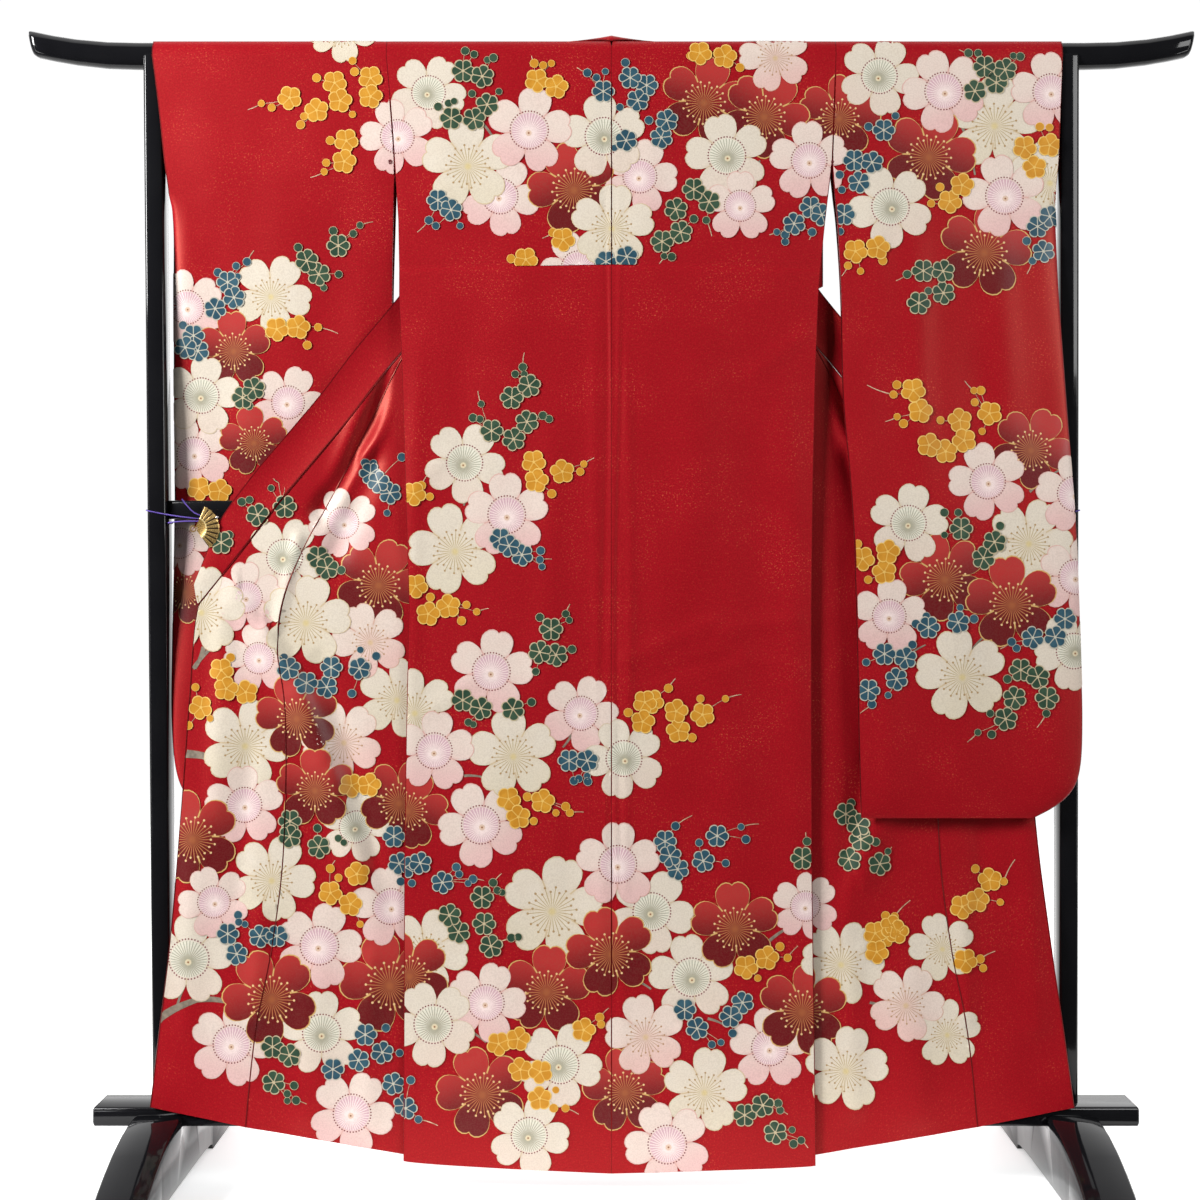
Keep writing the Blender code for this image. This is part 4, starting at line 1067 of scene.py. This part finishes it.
def blossom(note, zone):
    """A noted blossom as x, z, kind and radius."""
    column, row, kind, radius = note.split(",")
    return (*on_cloth(column, row, zone), kind, round(float(radius) * MM_PER_PIXEL[zone]))


def spray(note, zone):
    """A noted spray as its kind and the places of its flowers, buds and ends of twigs."""
    kind, flowers, buds, twig_ends = note.split("|")
    return (kind.strip(), places(flowers, zone), places(buds, zone), places(twig_ends, zone))


def branch(note, zone):
    """A noted branch as x, z of its two ends and its width."""
    column, row, to_column, to_row, width = note.split(",")
    return (*on_cloth(column, row, zone), *on_cloth(to_column, to_row, zone), int(width))


BLOOMS = {zone: tuple(blossom(note, zone) for note in notes.split())
          for zone, notes in BLOOM_NOTES.items()}
SPRAYS = {zone: tuple(spray(note, zone) for note in notes.split(";"))
          for zone, notes in SPRAY_NOTES.items()}
STEMS = {zone: tuple(branch(note, zone) for note in notes.split())
         for zone, notes in STEM_NOTES.items()}
# the right front behind its sleeve can't be seen: it has the left one's blossoms, mirrored
HIDDEN_FROM = 375.0
HIDDEN_ABOVE = 640.0
COLLAR_PRINT_BELOW = 1010.0
BLOOMS["hidden"] = tuple((-x, z, kind, radius) for x, z, kind, radius in BLOOMS["front_l"]
                         if z > HIDDEN_ABOVE and -x - radius > HIDDEN_FROM)
SPRAYS["hidden"] = STEMS["hidden"] = ()
# blossoms of the back and of the right front that run over the side seam
SIDE_SEAM = 290.0
over_back = tuple(b for b in BLOOMS["front_r"] if b[0] - b[3] < SIDE_SEAM)
over_front = tuple(b for b in BLOOMS["back"] if b[0] + b[3] > SIDE_SEAM)
BLOOMS["back"] += over_back
BLOOMS["front_r"] += over_front
SPRIG_RADIUS = {"g": 17.5, "b": 17.0, "o": 18.0}
BUD_RADIUS = 6.6
TWIG_WIDE = 1.7
BUD_STEM_WIDE = 1.0
BUD_SHRINKS = 0.1
# a drawn line: length of its parts, how much it tapers, how far it bows
STEM_STEP = 7
STEM_TAPER = 0.35
STEM_BOW = 0.04
# where in the map of a blossom a bud takes its colour, and how much of it
BUD_MAP_AT = (0, 0.5)
BUD_MAP_SHARE = 0.12
# outline of a petal from its middle line: degrees, share of the radius
PETAL = ((0, 0.925), (3, 0.97), (8, 1.0), (14, 0.99), (20, 0.945), (25, 0.885), (29, 0.80),
         (33, 0.68), (36, 0.56))
SPRAY_PETAL = ((0, 1.0), (8, 0.995), (16, 0.955), (22, 0.90), (27, 0.82), (30, 0.76))
PLUM_PETAL = ((0, 1.0), (10, 0.99), (20, 0.94), (28, 0.87), (36, 0.78))
ROUND = ((0, 1.0), (36, 1.0))
SEAM_SHOWS = 0.8
# how the point of a grid under a motif is looked for: rounds, longest step in cells, and
# the least area of a cell; a point farther off than the last is past the cloth's edge
SEARCH_ROUNDS = 14
SEARCH_STEP = 4
LEAST_AREA = 1e-4
PAST_EDGE = 0.8
PAINT_ABOVE = 0.40
PAINT_STEP = 0.18
BLOOM_LAYERS = (1, 2, 3, 4)
BUD_LAYER = 5
SPRIG_LAYERS = (6, 7, 5)
# rows of the tables: the tuck of the back, and the front's first printed row
TUCK_ROW = 10
FRONT_PRINT_ROW = 4
KINDS = "wWPpRgbots"


def rim_at(outline, turn):
    """How far a flower of such petals reaches at an angle in degrees."""
    half = outline[-1][0]
    fold = np.abs((turn - 90 + half) % (2 * half) - half)
    return np.interp(fold, [a for a, r in outline], [r for a, r in outline])


def flat_flower(outline, rings):
    """Points of a flower of radius 1 and the faces between them."""
    fold = [-a for a, r in outline[:0:-1]] + [a for a, r in outline[:-1]]
    wide = 2 * outline[-1][0]
    turns = np.array([90 + wide * petal + a for petal in range(360 // wide) for a in fold], float)
    if len(outline) == 2:
        turns = np.arange(12) * 30.0
    edge = rim_at(outline, turns)
    ray = np.stack([np.cos(np.radians(turns)), np.sin(np.radians(turns))], -1) * edge[:, None]
    points = np.concatenate([[(0, 0)]] + [ray * ring for ring in rings])
    count = len(turns)
    faces = [(0, 1 + i, 1 + (i + 1) % count) for i in range(count)]
    for ring in range(len(rings) - 1):
        low = 1 + ring * count
        for i in range(count):
            k = (i + 1) % count
            faces.append((low + i, low + count + i, low + count + k, low + k))
    return points, faces


FLOWERS = {"bloom": (PETAL, *flat_flower(PETAL, (0.13, 0.26, 0.38, 0.49, 0.60, 0.70, 0.80,
                                                0.90, 1.0))),
           "sprig": (SPRAY_PETAL, *flat_flower(SPRAY_PETAL, (0.35, 0.7, 1.0))),
           "plum": (PLUM_PETAL, *flat_flower(PLUM_PETAL, (0.35, 0.7, 1.0))),
           "bud": (ROUND, *flat_flower(ROUND, (1.0,)))}


def stem(x1, z1, x2, z2, wide, kind, layer):
    """A drawn line as a ribbon, tapering to its end."""
    a, b = np.array((x1, z1), float), np.array((x2, z2), float)
    along = b - a
    size = max(np.linalg.norm(along), 1e-6)
    beside = np.array((-along[1], along[0])) / size
    count = max(1, round(size / STEM_STEP))
    share = np.arange(count + 1)[:, None] / count
    half = wide / 2 * (1 - STEM_TAPER * share)
    middle = a + along * share + beside * np.sin(share * math.pi) * size * STEM_BOW
    points = np.stack([middle - beside * half, middle + beside * half], 1).reshape(-1, 2)
    faces = [(2 * i, 2 * i + 1, 2 * i + 3, 2 * i + 2)[::-1] for i in range(count)]
    return dict(shape=None, points=points, faces=faces, kind=kind, layer=layer,
                middle=(a + b) / 2, radius=1.0, turn=0.0)


def flower(shape, x, z, radius, kind, layer, number):
    """A flower turned a little differently from its neighbours."""
    turn = math.radians((number * 47) % 61 - 30)
    outline, points, faces = FLOWERS[shape]
    spin = np.array(((math.cos(turn), math.sin(turn)), (-math.sin(turn), math.cos(turn))))
    return dict(shape=shape, points=points @ spin * radius + (x, z), faces=faces, kind=kind,
                layer=layer, middle=np.array((x, z), float), radius=radius, turn=turn)


def free_layer(made, x, z, radius, layers, number):
    """A layer that no flower has which this one would lie over or under."""
    near = {other["layer"] for other in made if other["shape"]
            and math.dist(other["middle"], (x, z)) < other["radius"] + radius}
    wanted = [layers[(number + i) % len(layers)] for i in range(len(layers))]
    return next((layer for layer in wanted if layer not in near), wanted[0])


def pairs(flat):
    """The x, z pairs of a run of numbers."""
    return list(zip(flat[::2], flat[1::2]))


def nearest(place, others):
    """The one of some places that is nearest to another."""
    return min(others, key=lambda other: math.dist(place, other))


def zone_motifs(zone):
    """All that is drawn in one zone, stems lowest."""
    made = [stem(*row, "s", 0) for row in STEMS[zone]]
    for kind, flowers, buds, ends in SPRAYS[zone]:
        heads = pairs(flowers)
        for bud in pairs(buds):
            made.append(stem(*nearest(bud, heads), *bud, BUD_STEM_WIDE, "t", 0))
        for end in pairs(ends):
            made.append(stem(*nearest(end, heads + pairs(buds)), *end, TWIG_WIDE, "t", 0))
    for number, (x, z, kind, radius) in enumerate(BLOOMS[zone]):
        layer = free_layer(made, x, z, radius, BLOOM_LAYERS, number)
        made.append(flower("bloom", x, z, radius, kind, layer, number))
    for kind, flowers, buds, ends in SPRAYS[zone]:
        for number, (x, z) in enumerate(pairs(buds)):
            radius = BUD_RADIUS * (1 - BUD_SHRINKS * (number % 3))
            made.append(flower("bud", x, z, radius, kind, BUD_LAYER, number))
        for number, (x, z) in enumerate(pairs(flowers)):
            radius = SPRIG_RADIUS[kind]
            layer = free_layer(made, x, z, radius, SPRIG_LAYERS, number)
            made.append(flower("plum" if kind == "o" else "sprig", x, z, radius, kind, layer,
                               number * 3))
    return made


def on_grid(grid, row, column):
    """Values of a grid between its rows and columns, and which cells they are in."""
    i = np.clip(row.astype(int), 0, grid.shape[0] - 2)
    j = np.clip(column.astype(int), 0, grid.shape[1] - 2)
    s, t = (row - i)[:, None], (column - j)[:, None]
    a, b, c, d = grid[i, j], grid[i, j + 1], grid[i + 1, j], grid[i + 1, j + 1]
    value = (a * (1 - t) + b * t) * (1 - s) + (c * (1 - t) + d * t) * s
    return value, (b - a) * (1 - s) + (d - c) * s, (c - a) * (1 - t) + (d - b) * t


def locate(grid, targets, start):
    """Rows and columns at which a cloth grid, seen from the viewer, is at the targets."""
    row = np.full(len(targets), float(start[0]))
    column = np.full(len(targets), float(start[1]))
    seen = grid[..., (0, 2)]
    for _ in range(SEARCH_ROUNDS):
        here, across, down = on_grid(seen, row, column)
        miss = targets - here
        area = down[:, 0] * across[:, 1] - down[:, 1] * across[:, 0]
        area = np.where(np.abs(area) < LEAST_AREA, LEAST_AREA, area)
        step = (miss[:, 0] * across[:, 1] - miss[:, 1] * across[:, 0]) / area
        row = np.clip(row + np.clip(step, -SEARCH_STEP, SEARCH_STEP), 0, grid.shape[0] - 1)
        step = (down[:, 0] * miss[:, 1] - down[:, 1] * miss[:, 0]) / area
        column = np.clip(column + np.clip(step, -SEARCH_STEP, SEARCH_STEP), 0,
                         grid.shape[1] - 1)
    return row, column


def pulled_in(whole):
    """A cloth grid whose long edges stop a little short, so that the seams show."""
    grid = whole.copy()
    for edge, beside in ((0, 1), (-1, -2)):
        grid[:, edge] += unit(whole[:, beside] - whole[:, edge]) * SEAM_SHOWS
    return grid


def motif_maps(drawn, seen):
    """Where points lie in a motif, in radii, and how far toward its rim."""
    c, s = math.cos(drawn["turn"]), math.sin(drawn["turn"])
    local = (seen - drawn["middle"]) @ np.array(((c, -s), (s, c))) / drawn["radius"]
    if not drawn["shape"]:
        return local * 0, np.zeros(len(local))
    turn = np.degrees(np.arctan2(local[:, 1], local[:, 0]))
    rim = np.hypot(*local.T) / rim_at(FLOWERS[drawn["shape"]][0], turn)
    return (local * BUD_MAP_SHARE + BUD_MAP_AT if drawn["shape"] == "bud" else local), rim


def paint(name, patches, half=CLOTH / 2):
    """Joins the motifs that fall on some patches of cloth: grid, its side, its zone."""
    laid, flat, rims, faces, kinds = [], [], [], [], []
    count = 0
    for whole, facing, zone in patches:
        grid = pulled_in(whole)
        normals = outward(grid, 1)
        if normals[..., 1].mean() * facing < 0:
            normals = -normals
        low = grid[..., (0, 2)].reshape(-1, 2).min(0)
        high = grid[..., (0, 2)].reshape(-1, 2).max(0)
        for drawn in zone_motifs(zone):
            targets = drawn["points"]
            if (targets.max(0) < low).any() or (targets.min(0) > high).any():
                continue
            centre = np.clip(drawn["middle"], low, high)
            reach = np.linalg.norm(grid[..., (0, 2)] - centre, axis=-1)
            start = np.unravel_index(np.argmin(reach), reach.shape)
            row, column = locate(grid, targets, start)
            place = on_grid(grid, row, column)[0]
            seen = place[:, (0, 2)]
            out = np.linalg.norm(targets - seen, axis=1) > PAST_EDGE
            kept = [f for f in drawn["faces"] if not out[list(f)].all()]
            if not kept:
                continue
            lift = half + PAINT_ABOVE + PAINT_STEP * drawn["layer"]
            laid.append(place + on_grid(normals, row, column)[0] * lift)
            in_motif, rim = motif_maps(drawn, seen)
            flat.append(in_motif)
            rims.append(rim)
            for face in kept:
                turned = face if facing < 0 else face[::-1]
                faces.append([v + count for v in turned])
                kinds.append(KINDS.index(drawn["kind"]))
            count += len(place)
    mesh = bpy.data.meshes.new(name)
    mesh.from_pydata((np.concatenate(laid) * MM).tolist(), [], faces)
    rims = np.concatenate(rims)
    add_map(mesh, "bloom", np.concatenate(flat))
    add_map(mesh, "rim", np.stack([rims, np.zeros(len(rims))], -1))
    for kind in KINDS:
        mesh.materials.append(PAINTS[kind].material)
    mesh.polygons.foreach_set("material_index", kinds)
    bm = bmesh.new()
    bm.from_mesh(mesh)
    bmesh.ops.delete(bm, geom=[v for v in bm.verts if not v.link_faces], context="VERTS")
    bmesh.ops.dissolve_degenerate(bm, dist=0.000002, edges=bm.edges)
    bm.to_mesh(mesh)
    bm.free()
    mesh.shade_smooth()
    print_piece = bpy.data.objects.new(name, mesh)
    bpy.context.scene.collection.objects.link(print_piece)
    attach(print_piece, "root")


def dye(name, colour):
    """A finish with the silk's grain and the measures of a motif: across, up, to the rim."""
    made = Finish(name, colour, 0.4, Specular_IOR_Level=0.25)
    crepe = made.grain(700.0, 3.0)
    made.set("Roughness", crepe * 0.16 + 0.32)
    made.bump(crepe, 0.2, 0.0005)
    bloom = made.flat("bloom")
    return made, made.axis(bloom, 0), made.axis(bloom, 1), made.axis(made.flat("rim"), 0)


def polar(across, up):
    """Distance from the middle, and the angle in whole turns."""
    return (across * across + up * up) ** 0.5, across.sum("ARCTAN2", up, across) / math.tau


def beside_ray(turn, count, far):
    """Sideways distance to the nearest of evenly spread rays."""
    return abs((turn * count).part() - 0.5) * (math.tau / count) * far


def blossom_dye(name, petal, low_petal, rim_line, line, dot, heart, glow, dotted, veil=1.0,
                fade=(0.25, 1.05), stamens=26):
    """A big blossom: petals, a heart with rays, and a ring of dots or stamens round it."""
    made, across, up, rim = dye(name, petal)
    far, turn = polar(across, up)
    heart_far, heart_turn = polar(across, up + 0.07)
    colour = made.mix((fade[0] - up).rise(0.0, fade[1]), petal, low_petal)
    colour = made.mix(made.grain(60.0, 3.0) * 0.22 * veil, colour, rim_line)
    fold = abs((turn * 5 + 0.25).part() - 0.5)
    between = (0.5 - fold) * (math.tau / 5) * far
    colour = made.mix((1 - between.rise(0.0, 0.10)) * 0.30 * veil, colour, rim_line)
    colour = made.mix((1 - between.rise(0.010, 0.022)) * (far > 0.42), colour, rim_line)
    if dotted:
        disc = (1 - far.rise(0.39, 0.42)) * (heart_far.rise(0.08, 0.40) * 0.60 + 0.35)
        colour = made.mix(disc, colour, heart)
        colour = made.mix((1 - heart_far.rise(0.02, 0.17)) * 0.5, colour, glow)
        ray = 1 - beside_ray(heart_turn, 38, heart_far).rise(0.007, 0.015)
        colour = made.mix(ray * (far < 0.40) * (heart_far > 0.07) * 0.8, colour, line)
        side = beside_ray(turn, 40, 0.445)
        spot = (side * side + (far - 0.445) * (far - 0.445)) ** 0.5
        colour = made.mix(1 - spot.rise(0.014, 0.022), colour, dot)
        colour = made.mix(1 - heart_far.rise(0.012, 0.032), colour, (0.22, 0.08, 0.03))
    else:
        colour = made.mix((1 - far.rise(0.10, 0.42)) * 0.6, colour, heart)
        colour = made.mix((1 - heart_far.rise(0.02, 0.11)) * 0.7, colour, glow)
        # every other stamen is longer
        reach = ((heart_turn * (stamens / 2)).part() > 0.5) * 0.09 + 0.38
        side = beside_ray(heart_turn, stamens, heart_far)
        drawn = (heart_far < reach) * (heart_far.rise(0.03, 0.26) * 0.75 + 0.25)
        colour = made.mix((1 - side.rise(0.004, 0.010)) * drawn, colour, line)
        spot = (side * side + (heart_far - reach) * (heart_far - reach)) ** 0.5
        colour = made.mix(1 - spot.rise(0.019, 0.028), colour, dot)
    colour = made.mix(made.grain(520.0, 2.0).rise(0.62, 0.34) * 0.14, colour, (0.16, 0.09, 0.06))
    made.set("Base Color", made.mix(rim.rise(0.965, 0.982), colour, rim_line))
    return made


def sprig_dye(name, deep, light, line, petals, drawn):
    """A small flower of a spray: oval petals with drawn edges round a drawn middle."""
    made, across, up, rim = dye(name, deep)
    far, turn = polar(across, up)
    fold = abs((turn * petals - (petals / 4 - petals // 4) + 0.5).part() - 0.5)
    between = (0.5 - fold) * (math.tau / petals) * far
    shine = made.grain(55.0, 2.0).rise(0.35, 0.72) * 0.6 + far.band(0.3, 0.75, 0.25) * 0.4
    colour = made.mix(shine, deep, light)
    colour = made.mix((1 - between.rise(0.020, 0.058)) * drawn, colour, line)
    colour = made.mix((1 - far.rise(0.09, 0.15)) * drawn, colour, line)
    made.set("Base Color", made.mix(rim.rise(0.87, 0.94) * 0.9, colour, line))
    return made


WHITE, CREAM, GOLD = (0.60, 0.54, 0.455), (0.60, 0.53, 0.40), (0.52, 0.32, 0.11)
MAROON = (0.13, 0.006, 0.022)
PAINTS = {
    "w": blossom_dye("white dotted", WHITE, (0.60, 0.505, 0.43), (0.50, 0.40, 0.28),
                     (0.27, 0.27, 0.20), MAROON, (0.62, 0.60, 0.50), (0.58, 0.47, 0.22), True),
    "W": blossom_dye("white stamens", WHITE, (0.58, 0.52, 0.41), (0.50, 0.39, 0.25),
                     (0.36, 0.27, 0.13), (0.33, 0.22, 0.10), CREAM, (0.62, 0.50, 0.20), False,
                     stamens=28),
    "P": blossom_dye("pink dotted", (0.63, 0.535, 0.47), (0.62, 0.41, 0.39),
                     (0.55, 0.33, 0.29), (0.74, 0.62, 0.60), MAROON, (0.52, 0.33, 0.37),
                     (0.62, 0.46, 0.26), True),
    "p": blossom_dye("pink stamens", (0.63, 0.535, 0.47), (0.62, 0.42, 0.38),
                     (0.52, 0.33, 0.26), (0.38, 0.24, 0.15), (0.36, 0.21, 0.11),
                     (0.60, 0.43, 0.38), (0.58, 0.42, 0.20), False),
    "R": blossom_dye("red stamens", (0.37, 0.022, 0.022), (0.105, 0.0, 0.004), GOLD,
                     (0.42, 0.18, 0.06), (0.62, 0.42, 0.20), (0.16, 0.002, 0.006),
                     (0.26, 0.06, 0.02), False, 0.06, (0.75, 1.15), 30),
    "g": sprig_dye("green sprig", (0.009, 0.030, 0.018), (0.036, 0.072, 0.042),
                   (0.46, 0.38, 0.24), 6, 0.85),
    "b": sprig_dye("blue sprig", (0.008, 0.036, 0.060), (0.030, 0.084, 0.115),
                   (0.44, 0.42, 0.34), 6, 0.85),
    "o": sprig_dye("ochre sprig", (0.40, 0.162, 0.010), (0.52, 0.245, 0.025),
                   (0.66, 0.44, 0.12), 5, 0.55),
}
for key, name, dark, light in (("t", "drawn twig", (0.30, 0.17, 0.10), (0.58, 0.38, 0.25)),
                               ("s", "drawn branch", (0.13, 0.105, 0.08), (0.24, 0.19, 0.14))):
    twig = Finish(name, dark, 0.45)
    twig.set("Base Color", twig.mix(twig.grain(160.0, 2.0).rise(0.25, 0.75), dark, light))
    PAINTS[key] = twig

for side, sign, back, front in BODIES:
    points, back_rows, bar_rows = bodies[side]
    ridge = back_rows + bar_rows // 2 + 1
    tuck = sum(cell_steps(back)[:TUCK_ROW])
    below_tuck = sum(cell_steps(back)[:TUCK_ROW - 1]) + 1
    front_from = back_rows + bar_rows + sum(cell_steps(front, 6)[:FRONT_PRINT_ROW])
    inner = points[front_from:, SIDE_COLS + TURN_COLS:]
    rear = points[ridge - 1:front_from + 1, :SIDE_COLS + 1]
    patches = [(points[:below_tuck], -1, "back"), (points[tuck:ridge], -1, "shoulder"),
               (inner, -1, "front_l" if side == "left" else "front_r"),
               (rear, 1, "shoulder")]
    if side == "right":
        patches.append((inner, -1, "hidden"))
    paint("print_body_" + side, patches)

for side, zones in (("left", ("front_l",)), ("right", ("front_r", "hidden"))):
    paint("print_okumi_" + side, [(okumi[side], -1, zone) for zone in zones])

for side, zone in (("left", "sleeves_l"), ("right", "sleeves_r")):
    points, view_rows, bar_rows = sleeves[side]
    ridge = view_rows + bar_rows // 2 + 1
    paint("print_sleeve_" + side,
          [(points[:ridge], -1, "shoulder"), (points[:ridge], -1, zone),
           (points[ridge - 1:], 1, "shoulder"), (points[ridge - 1:], 1, zone)])

near_pin = left_collar[left_collar[:, 0, 2] < COLLAR_PRINT_BELOW]
paint("print_collar", [(near_pin, -1, "front_l"), (near_pin * (-1, 1, 1), -1, "hidden")],
      COLLAR_THICK / 2)

# The knots: where each sleeve leaves the body a few turns of red silk thread, pulled
# tight through both cloths, keep the seam's end from tearing.

# x, y, z of each knot
KNOTS = (("left", -320.3, -22.6, 1484.0), ("right", 319.9, -22.6, 1483.0))
KNOT_TURNS = 3
KNOT_SPREAD = 0.9
KNOT_RADIUS = 1.9
KNOT_THREAD = 0.55
# each turn of the thread is tilted and a little wider than the one before
KNOT_TILT = 0.5
KNOT_GROWS = 0.15

knot_silk = Finish("knot silk", (0.10, 0.006, 0.008), 0.5)
knot_twist = knot_silk.grain(2600.0, 1.0)
knot_silk.set("Base Color", knot_silk.mix(knot_twist, (0.05, 0.003, 0.004), (0.16, 0.010, 0.012)))
knot_silk.bump(knot_twist, 0.4, 0.0003)
for side, x, y, z in KNOTS:
    bpy.ops.object.select_all(action="DESELECT")
    rings = []
    for turn in range(KNOT_TURNS):
        bpy.ops.mesh.primitive_torus_add(
            location=(x * MM, y * MM, (z + (turn - 1) * KNOT_SPREAD) * MM),
            rotation=(math.pi / 2, KNOT_TILT * (turn - 1), 0),
            major_segments=16, minor_segments=8,
            major_radius=(KNOT_RADIUS + KNOT_GROWS * turn) * MM, minor_radius=KNOT_THREAD * MM)
        ring = bpy.context.object
        ring.data.materials.append(knot_silk.material)
        rings.append(ring)
    make_active(rings[0])
    for ring in rings:
        ring.select_set(True)
    bpy.ops.object.join()
    knot = bpy.context.object
    knot.name = "sleeve_knot_" + side
    bpy.ops.object.transform_apply(location=True, rotation=True, scale=True)
    bpy.ops.object.shade_smooth_by_angle(angle=SMOOTH_BELOW)
    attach(knot, "root")

# The clips: a small open fan of pressed and gilt brass with a ring at its pivot for the
# cord; a plated rivet holds the jaw that grips the collar's corner from behind.

PIN_X, PIN_Z = 601.0, 953.0
FAN_INNER = 16.0
FAN_RADIUS = 34.0
FAN_FROM = math.radians(-54.0)
FAN_TO = math.radians(69.0)
FAN_RIBS = 9
RIVET = (570.0, -27.4, 969.5)
RIVET_RADIUS = 2.3
RIVET_FLAT = 0.6
METAL_SMOOTH_BELOW = math.radians(28)

gilt = Finish("gold plate", (0.62, 0.40, 0.13), 0.3, Metallic=0.7)
across = abs(gilt.axis(gilt.place(), 0) / MM) - PIN_X
up = gilt.axis(gilt.place(), 2) / MM - PIN_Z
far, turn = polar(across * -1, up)
rib = ((turn * math.tau - FAN_FROM) / (FAN_TO - FAN_FROM)) * FAN_RIBS
groove_and_painted_shade = abs(rib.part() - 0.5).rise(0.22, 0.40) * (far > FAN_INNER + 1.2)
groove_and_painted_shade = groove_and_painted_shade * (far < FAN_RADIUS - 0.6)
worn = gilt.grain(700.0, 3.0)
plate = gilt.mix(worn, (0.52, 0.32, 0.09), (0.78, 0.54, 0.22))
plate = gilt.mix((far < FAN_INNER - 1.0) * 0.55, plate, (0.34, 0.19, 0.04))
plate = gilt.mix(far.band(FAN_INNER - 0.7, FAN_INNER + 0.7, 0.4), plate, (0.95, 0.74, 0.36))
# painted shade: the grooves between the ribs are coloured near black, as the shade in the gaps
gilt.set("Base Color", gilt.mix(groove_and_painted_shade, plate, (0.030, 0.014, 0.004)))
gilt.set("Roughness", worn * 0.14 + groove_and_painted_shade * 0.3 + 0.2)
gilt.bump(1 - groove_and_painted_shade, 0.5, 0.0006)
plated = Finish("plated rivet", (0.75, 0.75, 0.76), 0.2, Metallic=1.0)
plated.set("Roughness", plated.grain(900.0, 2.0) * 0.2 + 0.12)

for side, sign in (("left", -1), ("right", 1)):
    for part in ("clip_fan_", "clip_ring_"):
        metal = copied(part + side, part.replace("clip", "gilt") + side, gilt)
        bpy.ops.object.shade_smooth_by_angle(angle=METAL_SMOOTH_BELOW)
        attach(metal, "root")
        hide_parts(part + side)
    bpy.ops.object.select_all(action="DESELECT")
    bpy.ops.mesh.primitive_uv_sphere_add(
        segments=20, ring_count=12, radius=RIVET_RADIUS * MM,
        location=(sign * RIVET[0] * MM, RIVET[1] * MM, RIVET[2] * MM))
    rivet = bpy.context.object
    rivet.name = "clip_rivet_" + side
    rivet.scale = (1.0, RIVET_FLAT, 1.0)
    rivet.data.materials.append(plated.material)
    bpy.ops.object.transform_apply(location=True, rotation=True, scale=True)
    bpy.ops.object.shade_smooth()
    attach(rivet, "root")

bpy.context.view_layer.update()
